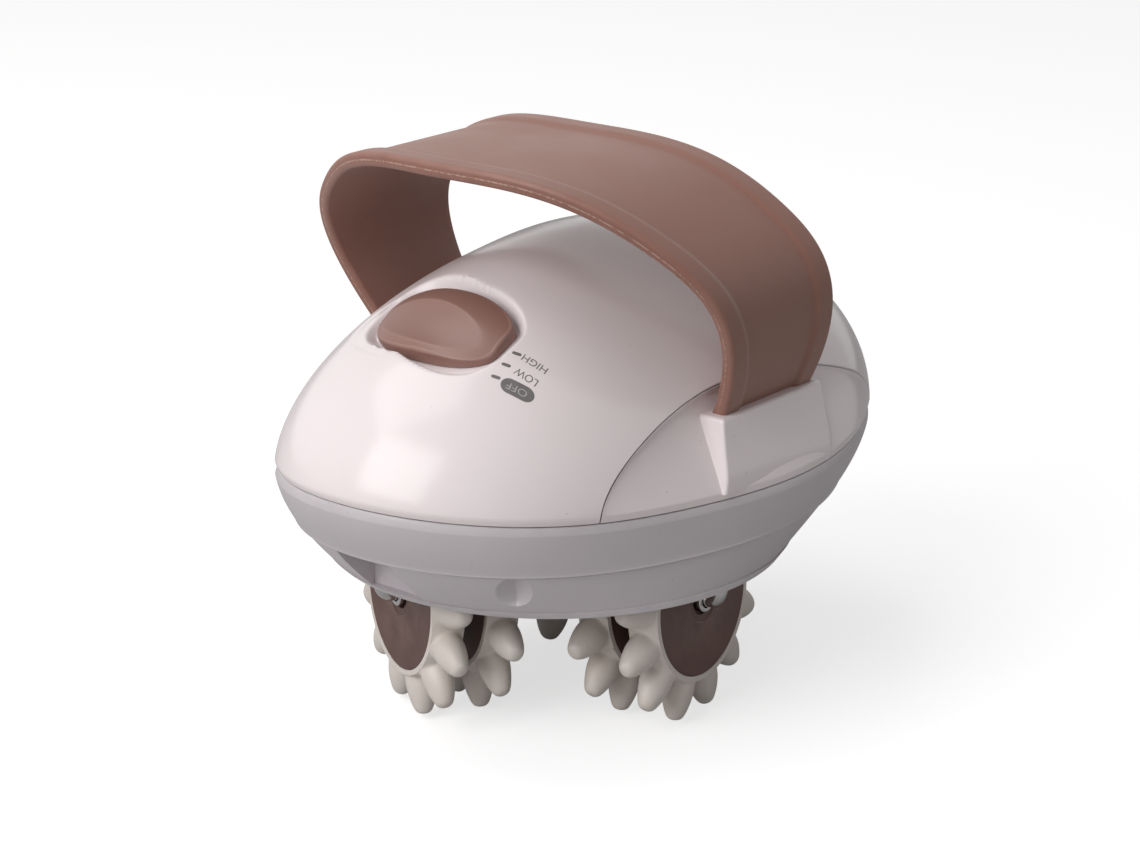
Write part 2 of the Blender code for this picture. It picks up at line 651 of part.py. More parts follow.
def build_upper_shell(carrier):
    """Dome with two arches for the side panels, a seat for the knob and posts for the housing screws."""
    outer = dome_grid(DOME_OUTER_ROWS, 0.0, SEAM_CHAMFER)
    inner = dome_grid(DOME_INNER_ROWS, DOME_WALL, 0.0)
    shell = shell_between("upper_shell", outer, inner, True, WHITE_GLOSS, carrier)

    core = dome_grid(DOME_INNER_ROWS, DOME_WALL / 2, 0.0)
    lid = shell_between("core", core, [[Vector((0, 0, SEAM_HEIGHT))] * len(core[0])], True)
    pad_top = prism("pad", seat_outline(SEAT_RIM), -SEAT_DEPTH - SEAT_FLOOR, SEAT_DEPTH + OVERRUN)
    pad_top.data.transform(knob_frame())
    combine(pad_top, lid, "INTERSECT")
    combine(shell, pad_top, "UNION")

    for place_x, place_y in screw_places():
        core = dome_grid(DOME_INNER_ROWS, DOME_WALL / 2, 0.0)
        lid = shell_between("core", core, [[Vector((0, 0, SEAM_HEIGHT))] * len(core[0])], True)
        post = rod("post", POST_RADIUS, (place_x, place_y, POST_JOINT + GAP / 2),
                   (place_x, place_y, KNOB_HEIGHT), POST_SIDES)
        combine(post, lid, "INTERSECT")
        combine(shell, post, "UNION")
        bore(shell, SCREW_RADIUS, (place_x, place_y, POST_JOINT - OVERRUN),
             (place_x, place_y, POST_FOOT + SCREW_LENGTH + GAP), ROUND_SIDES)

    seat = prism("seat", seat_outline(), -SEAT_DEPTH, KNOB_HEIGHT)
    seat.data.transform(knob_frame())
    combine(shell, seat, "DIFFERENCE")
    bore(shell, STEM_RADIUS, (0, 0, -SEAT_DEPTH - SEAT_FLOOR - OVERRUN), (0, 0, OVERRUN), ROUND_SIDES,
         knob_frame())
    return shell


def panel_grid(side, inset):
    """Rows of a side panel's points from the seam to its arch.

    The panel is drawn in below the dome's curve: the draw is zero along its border and greatest at two
    thirds of its height, so the arch shows as a soft crease.
    """
    grid = []
    columns = arch_columns(GAP)
    for row in range(PANEL_ROWS + 1):
        climb = row / PANEL_ROWS
        line = []
        for angle, top_share in columns:
            point = dome_point(angle, top_share * climb, inset)
            across = (angle - ARCH_MIDDLE) / (columns[-1][0] - ARCH_MIDDLE)
            draw = SIDE_DRAW * DRAW_PEAK_SCALE * climb * math.sqrt(1 - climb) * (1 - across ** 2)
            line.append(Vector((side * (point.x - draw), point.y, point.z)))
        grid.append(line if side > 0 else line[::-1])
    return grid


def strap_line(share):
    """The strap's outer line in the XZ plane at a share of its course, a clamped cubic B-spline."""
    places = [(-STRAP_FOOT_REACH, STRAP_FOOT_HEIGHT), (-STRAP_BELLY_REACH, STRAP_BELLY_HEIGHT),
              (-STRAP_SHOULDER_REACH, STRAP_SHOULDER_HEIGHT), (-STRAP_TOP_REACH, STRAP_TOP_HEIGHT),
              (0, STRAP_TOP_HEIGHT), (STRAP_TOP_REACH, STRAP_TOP_HEIGHT),
              (STRAP_SHOULDER_REACH, STRAP_SHOULDER_HEIGHT), (STRAP_BELLY_REACH, STRAP_BELLY_HEIGHT),
              (STRAP_FOOT_REACH, STRAP_FOOT_HEIGHT)]
    degree = 3
    spans = len(places) - degree
    knots = [0.0] * degree + [step / spans for step in range(spans + 1)] + [1.0] * degree
    span = min(int(share * spans), spans - 1) + degree
    work = [Vector(places[span - degree + index]) for index in range(degree + 1)]
    for level in range(1, degree + 1):
        for index in range(degree, level - 1, -1):
            low = knots[span - degree + index]
            high = knots[span + 1 + index - level]
            blend = (share - low) / (high - low)
            work[index] = work[index - 1].lerp(work[index], blend)
    return work[degree]


def strap_station(share):
    """Outer point, outward normal, middle y and half width of the strap at a share of its course."""
    point = strap_line(share)
    run = strap_line(min(1.0, share + RUN_SHARE)) - strap_line(max(0.0, share - RUN_SHARE))
    run.normalize()
    foot_share = (2 * share - 1) ** 2
    taper_share = STRAP_EVEN_SHARE * foot_share + (1 - STRAP_EVEN_SHARE) * foot_share ** 2
    width = STRAP_TOP_WIDTH + (STRAP_FOOT_WIDTH - STRAP_TOP_WIDTH) * taper_share
    middle = STRAP_FOOT_Y - STRAP_LEAN * (1 - foot_share)
    return point, Vector((-run.y, run.x)), middle, width / 2


def across_strap(share, outline):
    """Points of an outline of (across, depth), laid square to the strap's course."""
    point, normal, middle, half = strap_station(share)
    return [Vector((point.x + normal.x * depth, middle + across, point.y + normal.y * depth))
            for across, depth in outline]


def strap_section(share):
    """Closed section of the strap: raised borders outside, rounded edges, flat inside."""
    half = strap_station(share)[3]
    border = half - STRAP_BORDER
    outline = [(-half, -STRAP_EDGE), (-half + STRAP_EDGE, 0), (-border, 0),
               (STRAP_BORDER_PROUD - border, -STRAP_BORDER_PROUD),
               (border - STRAP_BORDER_PROUD, -STRAP_BORDER_PROUD),
               (border, 0), (half - STRAP_EDGE, 0), (half, -STRAP_EDGE),
               (half, STRAP_EDGE - STRAP_THICKNESS), (half - STRAP_EDGE, -STRAP_THICKNESS),
               (STRAP_EDGE - half, -STRAP_THICKNESS), (-half, STRAP_EDGE - STRAP_THICKNESS)]
    return across_strap(share, outline)


def strap_clearance_section(share):
    """Plain section a gap larger than the strap's, for the room that the panel leaves it."""
    half = strap_station(share)[3] + GAP
    return across_strap(share, [(-half, GAP), (half, GAP), (half, -STRAP_THICKNESS - GAP),
                                (-half, -STRAP_THICKNESS - GAP)])


def foot_frame(side):
    """Frame at a strap foot: X outward from the strap, Y along the foot, Z up the strap's own slope."""
    point, normal, middle, half = strap_station(1.0)
    upward = Vector((-normal.y, 0, normal.x))
    if upward.z < 0:
        upward = -upward
    outward = Vector((normal.x, 0, normal.y))
    if side < 0:
        upward.x = -upward.x
        outward.x = -outward.x
    along = upward.cross(outward)
    frame = Matrix.Identity(4)
    for row in range(3):
        frame[row][0] = outward[row]
        frame[row][1] = along[row]
        frame[row][2] = upward[row]
    return Matrix.Translation((side * point.x, middle, point.y)) @ frame, half


def block_in(frame, name, low, high, look=None, parent=None):
    """A plain block between two corners of a frame."""
    lower = [(low[0], low[1], low[2]), (high[0], low[1], low[2]), (high[0], high[1], low[2]),
             (low[0], high[1], low[2])]
    upper = [(x, y, high[2]) for x, y, z in lower]
    item = eight_corner_block(name, lower, upper, look, parent)
    item.data.transform(frame)
    return item


def socket_section(side, foot_y, top_y):
    """End of a socket: a sloping outer wall from the seam to the flat top, and a floor over the well."""
    foot_reach = math.sqrt(seam_reach(math.asin(foot_y / SEAM_REACH)) ** 2 - foot_y ** 2)
    foot_height = SEAM_HEIGHT + seam_bow(foot_y) + SOCKET_FOOT_RISE
    outline = [(SOCKET_INSIDE, top_y, SOCKET_TOP), (SOCKET_TOP_REACH, top_y, SOCKET_TOP),
               (foot_reach, foot_y, foot_height), (foot_reach - DOME_WALL, foot_y, foot_height),
               (SOCKET_TOP_REACH - DOME_WALL, top_y, SOCKET_FLOOR), (SOCKET_INSIDE, top_y, SOCKET_FLOOR)]
    return [Vector((side * x, y, z)) for x, y, z in outline]


def build_side_panel(carrier, side, name):
    """Arch-shaped panel with the raised socket that takes a foot of the strap."""
    panel = shell_between(name, panel_grid(side, 0.0), panel_grid(side, DOME_WALL), False,
                          WHITE_GLOSS, carrier)
    socket = loft("socket", [socket_section(side, SOCKET_FOOT_FRONT, SOCKET_TOP_FRONT),
                             socket_section(side, SOCKET_FOOT_REAR, SOCKET_TOP_REAR)])
    edge = socket.modifiers.new("edge", "BEVEL")
    edge.width = SOCKET_EDGE
    edge.segments = 1
    combine(panel, socket, "UNION")

    frame, half = foot_frame(side)
    slot_half = half + 2 * GAP
    slot = block_in(frame, "slot", (-STRAP_THICKNESS - 2 * GAP, -slot_half, -TAB_DEPTH - GAP),
                    (2 * GAP, slot_half, STRAP_EDGE))
    combine(panel, slot, "DIFFERENCE")
    foot_share = (1 + side) / 2
    sections = [strap_clearance_section(foot_share - side * STRAP_END_SHARE * step / STRAP_END_STEPS)
                for step in range(STRAP_END_STEPS + 1)]
    combine(panel, loft("clearance", sections), "DIFFERENCE")
    for place in (-1, 1):
        middle = place * STRAP_PIN_SPACING / 2
        reach = -STRAP_THICKNESS / 2 - STRAP_PIN_LENGTH / 2
        bore(panel, STRAP_PIN_RADIUS, (reach - GAP, middle, -STRAP_PIN_DEPTH),
             (reach + STRAP_PIN_LENGTH + GAP, middle, -STRAP_PIN_DEPTH), ROUND_SIDES, frame)
    return panel


def build_strap(carrier):
    """Soft strap over the hand, with a tab in each socket and holes for the strap pins."""
    sections = [strap_section(step / STRAP_SECTIONS) for step in range(STRAP_SECTIONS + 1)]
    strap = loft("handle_strap", sections, BROWN_RUBBER, carrier)
    for side in (-1, 1):
        frame, half = foot_frame(side)
        step = (STRAP_THICKNESS - TAB_THICKNESS) / 2
        tab = block_in(frame, "tab", (-STRAP_THICKNESS + step, -half + TAB_WIDTH_CUT, -TAB_DEPTH),
                       (-step, half - TAB_WIDTH_CUT, TAB_SIDE_STEP))
        combine(strap, tab, "UNION")
        for place in (-1, 1):
            middle = place * STRAP_PIN_SPACING / 2
            bore(strap, STRAP_PIN_RADIUS, (-STRAP_THICKNESS - OVERRUN, middle, -STRAP_PIN_DEPTH),
                 (OVERRUN, middle, -STRAP_PIN_DEPTH), ROUND_SIDES, frame)
    return strap


def build_strap_pins(carrier):
    """Two pins through each tab of the strap, seated in both walls of its socket."""
    for side, side_name in ((-1, "left"), (1, "right")):
        frame = foot_frame(side)[0]
        for place, place_name in ((-1, "front"), (1, "rear")):
            middle = place * side * STRAP_PIN_SPACING / 2
            reach = -STRAP_THICKNESS / 2 - STRAP_PIN_LENGTH / 2
            pin = rod("strap_pin_" + side_name + "_" + place_name, STRAP_PIN_RADIUS,
                      (reach, middle, -STRAP_PIN_DEPTH), (reach + STRAP_PIN_LENGTH, middle, -STRAP_PIN_DEPTH),
                      ROUND_SIDES, STEEL, carrier)
            pin.data.transform(frame)


def bowl_point(angle, climb, inset=0.0):
    """A point of the lower body between the round lip (climb 0) and the seam (climb 1)."""
    swell = 1 - (1 - climb) ** BOWL_POWER
    reach = LIP_RADIUS - inset + (seam_reach(angle) - LIP_RADIUS) * swell
    top = SEAM_HEIGHT - GAP / 2 + seam_bow(seam_reach(angle) * math.sin(angle))
    return Vector((reach * math.cos(angle), reach * math.sin(angle), LIP_HEIGHT + (top - LIP_HEIGHT) * climb))


def ring_point(angle, radius, height):
    """A point at a radius and height about the rotor axis."""
    return Vector((radius * math.cos(angle), radius * math.sin(angle), height))


def build_lower_shell(carrier):
    """Bowl, floor, well wall and ceiling in one moulding, with posts for the screws and the gear train."""
    sections = []
    for column in range(LOWER_COLUMNS):
        angle = 2 * math.pi * column / LOWER_COLUMNS
        chamfer_share = SEAM_CHAMFER_HEIGHT / BODY_DEPTH
        outer = [bowl_point(angle, STEP_SHARE + (1 - chamfer_share - STEP_SHARE) * row / BOWL_ROWS, 0.0)
                 for row in range(BOWL_ROWS + 1)]
        outer[0] = bowl_point(angle, STEP_SHARE, -STEP_PROUD)
        outer.append(bowl_point(angle, 1.0, SEAM_CHAMFER))
        floor = outer[0].z + BOWL_WALL
        inner = [bowl_point(angle, 1.0, BOWL_WALL + SEAM_CHAMFER / 2),
                 bowl_point(angle, (1 + STEP_SHARE) / 2, BOWL_WALL + SEAM_CHAMFER / 2)]
        corner = bowl_point(angle, STEP_SHARE, BOWL_WALL)
        inner.append(Vector((corner.x, corner.y, floor)))
        well_outer = WELL_RADIUS + WELL_WALL
        well = [ring_point(angle, well_outer, floor), ring_point(angle, WELL_TOP_RADIUS + WELL_WALL, CEILING),
                ring_point(angle, WELL_TOP_RADIUS, CEILING_TOP),
                ring_point(angle, BUSH_RADIUS + GAP, CEILING_TOP),
                ring_point(angle, BUSH_RADIUS + GAP, CEILING), ring_point(angle, WELL_TOP_RADIUS, CEILING),
                ring_point(angle, WELL_RADIUS, WELL_FOOT),
                ring_point(angle, well_outer, WELL_FOOT), ring_point(angle, well_outer, outer[0].z)]
        sections.append(outer + inner + well)
    shell = swept_ring("lower_shell", sections, WHITE_SATIN, carrier)

    for place_x, place_y in screw_places():
        angle = math.atan2(place_y, place_x)
        floor = bowl_point(angle, STEP_SHARE).z + BOWL_WALL
        post = rod("post", POST_RADIUS, (place_x, place_y, floor - BOWL_WALL / 2),
                   (place_x, place_y, POST_JOINT - GAP / 2), POST_SIDES)
        combine(shell, post, "UNION")
        foot = (place_x, place_y, LIP_HEIGHT)
        bore(shell, SCREW_RADIUS, foot, (place_x, place_y, POST_JOINT + OVERRUN), ROUND_SIDES)
        bore(shell, SCREW_HEAD_RADIUS, foot, (place_x, place_y, POST_FOOT + GAP), ROUND_SIDES)

    for place_x, place_y in pillar_places():
        pillar = rod("pillar", PILLAR_RADIUS, (place_x, place_y, CEILING_TOP - CEILING_WALL / 2),
                     (place_x, place_y, CHASSIS_UNDERSIDE - GAP), POST_SIDES)
        combine(shell, pillar, "UNION")
        bore(shell, SCREW_RADIUS, (place_x, place_y, CEILING_TOP + OVERRUN),
             (place_x, place_y, CHASSIS_UNDERSIDE + OVERRUN), POST_SIDES)
    for side in (-1, 1):
        post = rod("post", BOARD_POST_RADIUS, (side * BOARD_POST_X, BOARD_Y, CEILING_TOP - CEILING_WALL / 2),
                   (side * BOARD_POST_X, BOARD_Y, CEILING_TOP + BOARD_STAND), POST_SIDES)
        combine(shell, post, "UNION")
    pin_seat = rod("pin_seat", 2 * IDLER_PIN_RADIUS, (0, idler_y(), CEILING_TOP - CEILING_WALL / 2),
                   (0, idler_y(), CEILING_TOP + BUSH_FLANGE), POST_SIDES)
    combine(shell, pin_seat, "UNION")
    bore(shell, IDLER_PIN_RADIUS, (0, idler_y(), CEILING + CEILING_WALL / 2),
         (0, idler_y(), CEILING_TOP + BUSH_FLANGE + OVERRUN), POST_SIDES)
    bore(shell, GLAND_RADIUS, (0, 0, -GLAND_LENGTH), (0, 0, GLAND_LENGTH), POST_SIDES, gland_frame())
    return shell


def v_pocket(name):
    """Cutter for a small oval pocket with a vertical crease at its deepest: X outward, Y along, Z up."""
    shape = bmesh.new()
    for across, along in oval(POCKET_WIDTH / 2, POCKET_TALL / 2, POST_SIDES):
        shape.verts.new((0, across, along))
        shape.verts.new((POCKET_DEPTH + OVERRUN, across, along))
    for share in (-1, 0, 1):
        angle = share * math.pi / 4
        shape.verts.new((-POCKET_DEPTH * math.cos(angle), 0, POCKET_TALL / 2 * math.sin(angle)))
    bmesh.ops.convex_hull(shape, input=shape.verts)
    mesh = bpy.data.meshes.new(name)
    shape.to_mesh(mesh)
    shape.free()
    item = bpy.data.objects.new(name, mesh)
    bpy.context.scene.collection.objects.link(item)
    return item


def build_skirt_ring(carrier):
    """Ring below the bowl with the thin lip, the square notch at the nose and four V pockets.

    It clips on last and covers the heads of the housing screws.
    """
    inner_radius = WELL_RADIUS + WELL_WALL + GAP
    sections = []
    for column in range(SKIRT_COLUMNS):
        angle = 2 * math.pi * column / SKIRT_COLUMNS
        lip_share = LIP_BAND / BODY_DEPTH
        top_share = STEP_SHARE - GAP / BODY_DEPTH
        outline = [ring_point(angle, inner_radius, LIP_HEIGHT), ring_point(angle, LIP_RADIUS, LIP_HEIGHT),
                   bowl_point(angle, lip_share, 0.0), bowl_point(angle, lip_share, LIP_PROUD)]
        outline += [bowl_point(angle, lip_share + (top_share - lip_share) * row / SKIRT_ROWS, LIP_PROUD)
                    for row in range(1, SKIRT_ROWS + 1)]
        outline.append(ring_point(angle, inner_radius, outline[-1].z))
        sections.append(outline)
    skirt = swept_ring("skirt_ring", sections, WHITE_SATIN, carrier)

    for angle in POCKET_ANGLES:
        climb = (POCKET_HEIGHT - LIP_HEIGHT) / BODY_DEPTH
        place = bowl_point(angle, climb, LIP_PROUD)
        above = bowl_point(angle, climb + LIP_BAND / SEAM_REACH, LIP_PROUD)
        slope = math.atan2(math.hypot(above.x, above.y) - math.hypot(place.x, place.y), above.z - place.z)
        pocket = v_pocket("pocket")
        pocket.data.transform(Matrix.Translation(place) @ Matrix.Rotation(angle, 4, "Z")
                              @ Matrix.Rotation(slope, 4, "Y"))
        combine(skirt, pocket, "DIFFERENCE")

    nose = -seam_reach(-math.pi / 2)
    notch = block_in(Matrix(), "notch", (-NOTCH_HALF, nose, NOTCH_FOOT),
                     (NOTCH_HALF, -inner_radius - NOTCH_WALL, SEAM_HEIGHT))
    combine(skirt, notch, "DIFFERENCE")
    return skirt


def build_housing_screws(carrier):
    """Four long screws from below that hold the shells together."""
    head = POST_FOOT - SCREW_HEAD_HEIGHT
    tip = POST_FOOT + SCREW_LENGTH
    for index, (place_x, place_y) in enumerate(screw_places()):
        profile = [(0, head), (SCREW_HEAD_RADIUS, head), (SCREW_HEAD_RADIUS, POST_FOOT),
                   (SCREW_RADIUS, POST_FOOT), (SCREW_RADIUS, tip), (0, tip)]
        screw = turned("housing_screw_" + str(index + 1), profile, ROUND_SIDES, STEEL, carrier)
        screw.data.transform(Matrix.Translation((place_x, place_y, 0)))


def build_knob(pivot):
    """Oval knob with a straight pointer edge and a finger scoop, and the stem that turns the switch."""
    base = -SEAT_DEPTH + GAP
    rings = [(1.0, 0.0), (1.0 - KNOB_EDGE / KNOB_LENGTH / 2, KNOB_SIDE - KNOB_EDGE),
             (1.0 - KNOB_EDGE / KNOB_WIDTH, KNOB_SIDE),
             (KNOB_SHOULDER_SHARE, (KNOB_SIDE + 2 * KNOB_CROWN) / 3), (0.0, KNOB_CROWN)]
    points = []
    for scale, height in rings:
        for across, along in knob_outline():
            points.append(Vector((across * scale, KNOB_SHIFT + (along - KNOB_SHIFT) * scale, base + height)))
    faces = grid_faces(len(rings), KNOB_SIDES, 0, wrap_columns=True)
    faces.append(list(range(KNOB_SIDES))[::-1])
    knob = add_object("knob", points, faces, BROWN_MATTE, pivot)
    scoop = turned("scoop", SCOOP_PROFILE_SHARES, HUB_SIDES)
    scoop.data.transform(Matrix.Translation((SCOOP_SHIFT, KNOB_SHIFT, base + KNOB_CROWN + SCOOP_RISE))
                         @ Matrix.Diagonal((SCOOP_LENGTH, SCOOP_WIDTH, SCOOP_DEPTH + SCOOP_RISE, 1)))
    combine(knob, scoop, "DIFFERENCE")
    bore(knob, STEM_RADIUS, (0, 0, base - OVERRUN), (0, 0, base + KNOB_EDGE), ROUND_SIDES)
    stem_top = base + KNOB_EDGE - GAP
    rod("knob_stem", STEM_RADIUS, (0, 0, stem_top - STEM_LENGTH), (0, 0, stem_top), ROUND_SIDES,
        NATURAL_NYLON, pivot)


def build_switch(carrier):
    """Rotary switch under the seat, square on the knob's axis."""
    top = -SEAT_DEPTH - SEAT_FLOOR - GAP
    half = SWITCH_SIZE / 2
    body = block_in(knob_frame(), "rotary_switch", (-half, -half, top - SWITCH_HEIGHT), (half, half, top),
                    DARK_PLASTIC, carrier)
    stem_foot = -SEAT_DEPTH + KNOB_EDGE - STEM_LENGTH
    bore(body, STEM_RADIUS, (0, 0, stem_foot - GAP), (0, 0, OVERRUN), ROUND_SIDES, knob_frame())


def build_circuit_board(carrier):
    """Small board on two posts of the ceiling."""
    bottom = CEILING_TOP + BOARD_STAND + GAP
    half_x = BOARD_LENGTH / 2
    half_y = BOARD_WIDTH / 2
    outline = [(-half_x, BOARD_Y - half_y), (half_x, BOARD_Y - half_y), (half_x, BOARD_Y + half_y),
               (-half_x, BOARD_Y + half_y)]
    prism("circuit_board", outline, bottom, bottom + BOARD_THICKNESS, BOARD_GREEN, carrier)


def gland_frame():
    """Frame on the tail of the bowl, with Z out of the shell and drooping."""
    tail_top = SEAM_HEIGHT + seam_bow(seam_reach(math.pi / 2))
    place = bowl_point(math.pi / 2, (GLAND_HEIGHT - LIP_HEIGHT) / (tail_top - LIP_HEIGHT))
    return Matrix.Translation(place) @ Matrix.Rotation(-math.pi / 2 - GLAND_DROOP, 4, "X")


def build_cord_gland(carrier):
    """Rubber gland at the tail where the mains lead enters."""
    seat = GLAND_PROUD
    inner_end = seat - GLAND_LENGTH
    face = seat + GLAND_FLANGE
    profile = [(GLAND_BORE, inner_end), (GLAND_RADIUS, inner_end), (GLAND_RADIUS, seat),
               (GLAND_FLANGE_RADIUS, seat), (GLAND_FLANGE_RADIUS, face), (GLAND_BORE, face)]
    gland = turned("cord_gland", profile, POST_SIDES, DARK_PLASTIC, carrier, bored=True)
    gland.data.transform(gland_frame())


def idler_y():
    """Distance of the idler's pin from the rotor axis, towards the tail."""
    return (OUTPUT_TEETH + IDLER_PINION_TEETH) * OUTPUT_MODULE / 2


def motor_y():
    """The motor's shaft lies back from the idler towards the rotor axis."""
    return idler_y() - (IDLER_TEETH + MOTOR_TEETH) * MOTOR_MODULE / 2


def clip_radius():
    """The shaft's clip leaves room for the motor's pinion, which turns beside it."""
    return motor_y() - (MOTOR_TEETH / 2 + ADDENDUM_SHARE) * MOTOR_MODULE - GAP


def pillar_places():
    """Places of the three pillars under the gearbox plate, anticlockwise from the front left."""
    return [(-CHASSIS_FRONT_X, CHASSIS_FRONT_Y), (CHASSIS_FRONT_X, CHASSIS_FRONT_Y), (0, CHASSIS_REAR_Y)]


def gear_outline(teeth, module, phase, fine):
    """Points of a spur gear with involute flanks, its first tooth centred on the phase angle."""
    pitch = teeth * module / 2
    tip = pitch + ADDENDUM_SHARE * module
    root = pitch - DEDENDUM_SHARE * module
    base = pitch * math.cos(PRESSURE_ANGLE)
    half_tooth = math.pi / 2 / teeth * (1 - 2 * BACKLASH_SHARE)
    spread = math.tan(PRESSURE_ANGLE) - PRESSURE_ANGLE

    def half_angle(radius):
        if radius <= base:
            return half_tooth + spread
        roll = math.acos(base / radius)
        return half_tooth + spread - (math.tan(roll) - roll)

    radii = [root, pitch, tip] if fine else [root, tip]
    outline = []
    for tooth in range(teeth):
        middle = phase + 2 * math.pi * tooth / teeth
        flank = [(radius, half_angle(radius)) for radius in radii]
        for radius, half in flank:
            outline.append((radius * math.cos(middle - half), radius * math.sin(middle - half)))
        for radius, half in reversed(flank):
            outline.append((radius * math.cos(middle + half), radius * math.sin(middle + half)))
    return outline


def build_gear_train(carrier, rotor, idler, motor):
    """Output gear, idler on its pin, and the motor's shaft and pinion, all in mesh at rest."""
    towards_tail = math.pi / 2
    level = OUTPUT_LEVEL
    output = prism("output_gear", gear_outline(OUTPUT_TEETH, OUTPUT_MODULE, towards_tail, False), level,
                   level + OUTPUT_FACE, NATURAL_NYLON, rotor)
    bore(output, SHAFT_RADIUS, (0, 0, level - OVERRUN), (0, 0, level + OUTPUT_FACE + OVERRUN), POST_SIDES)

    pinion_phase = -towards_tail + math.pi / IDLER_PINION_TEETH
    upper = IDLER_LEVEL
    wheel = prism("idler_gear", gear_outline(IDLER_TEETH, MOTOR_MODULE, -towards_tail, False), upper,
                  upper + IDLER_FACE, NATURAL_NYLON, idler)
    pinion = prism("pinion", gear_outline(IDLER_PINION_TEETH, OUTPUT_MODULE, pinion_phase, True), level + GAP,
                   upper + IDLER_FACE / 2)
    combine(wheel, pinion, "UNION")
    bore(wheel, IDLER_PIN_RADIUS, (0, 0, level - OVERRUN), (0, 0, upper + IDLER_FACE + OVERRUN), POST_SIDES)
    rod("idler_pin", IDLER_PIN_RADIUS, (0, idler_y(), CEILING + CEILING_WALL / 2 + GAP),
        (0, idler_y(), CHASSIS_UNDERSIDE + CHASSIS_THICKNESS / 2), POST_SIDES, STEEL, carrier)

    motor_phase = towards_tail + math.pi / MOTOR_TEETH
    drive = prism("motor_pinion", gear_outline(MOTOR_TEETH, MOTOR_MODULE, motor_phase, True), upper - GAP,
                  upper + IDLER_FACE + GAP, BRONZE, motor)
    bore(drive, MOTOR_SHAFT_RADIUS, (0, 0, upper - OVERRUN), (0, 0, CHASSIS_UNDERSIDE), POST_SIDES)
    rod("motor_shaft", MOTOR_SHAFT_RADIUS, (0, 0, upper - 2 * GAP), (0, 0, MOTOR_FOOT + MOTOR_SHAFT_REACH),
        POST_SIDES, STEEL, motor)


def build_gearbox_plate(carrier):
    """Plate over the gears that holds the motor and the upper end of the idler's pin, and its screws."""
    outline = []
    places = pillar_places()
    for index, (corner_x, corner_y) in enumerate(places):
        before = places[index - 1]
        after = places[(index + 1) % len(places)]
        first = math.atan2(corner_y - before[1], corner_x - before[0]) - math.pi / 2
        last = math.atan2(after[1] - corner_y, after[0] - corner_x) - math.pi / 2
        sweep = (last - first) % (2 * math.pi)
        for step in range(CHASSIS_CORNER_STEPS + 1):
            angle = first + sweep * step / CHASSIS_CORNER_STEPS
            outline.append((corner_x + CHASSIS_MARGIN * math.cos(angle),
                            corner_y + CHASSIS_MARGIN * math.sin(angle)))
    plate = prism("gearbox_plate", outline, CHASSIS_UNDERSIDE, CHASSIS_TOP, DARK_PLASTIC, carrier)
    holes = [(x, y, SCREW_RADIUS) for x, y in places]
    holes.append((0, motor_y(), MOTOR_BOSS_RADIUS))
    for hole_x, hole_y, radius in holes:
        bore(plate, radius, (hole_x, hole_y, CHASSIS_UNDERSIDE - OVERRUN),
             (hole_x, hole_y, CHASSIS_TOP + OVERRUN), POST_SIDES)
    bore(plate, IDLER_PIN_RADIUS, (0, idler_y(), CHASSIS_UNDERSIDE - OVERRUN),
         (0, idler_y(), CHASSIS_UNDERSIDE + CHASSIS_THICKNESS / 2 + GAP), POST_SIDES)
    head = CHASSIS_TOP + GAP
    tip = head - PILLAR_RADIUS - CHASSIS_THICKNESS
    for index, (place_x, place_y) in enumerate(pillar_places()):
        profile = [(0, tip), (SCREW_RADIUS, tip), (SCREW_RADIUS, head), (SCREW_HEAD_RADIUS, head),
                   (SCREW_HEAD_RADIUS, head + SCREW_HEAD_HEIGHT), (0, head + SCREW_HEAD_HEIGHT)]
        screw = turned("gearbox_screw_" + str(index + 1), profile, POST_SIDES, STEEL, carrier)
        screw.data.transform(Matrix.Translation((place_x, place_y, 0)))


def build_motor(carrier):
    """Flat can motor on the gearbox plate, bored for its shaft."""
    foot = MOTOR_FOOT
    clear = MOTOR_SHAFT_RADIUS + GAP
    top = foot + MOTOR_HEIGHT
    bore_end = foot + MOTOR_SHAFT_REACH + GAP
    profile = [(0, bore_end), (clear, bore_end), (clear, foot - MOTOR_BOSS),
               (MOTOR_BOSS_RADIUS, foot - MOTOR_BOSS), (MOTOR_BOSS_RADIUS, foot), (MOTOR_RADIUS, foot),
               (MOTOR_RADIUS, top - MOTOR_EDGE), (MOTOR_RADIUS - MOTOR_EDGE, top), (0, top)]
    can = turned("motor_can", profile, MOTOR_SIDES, STEEL, carrier)
    can.data.transform(Matrix.Translation((0, motor_y(), 0)))


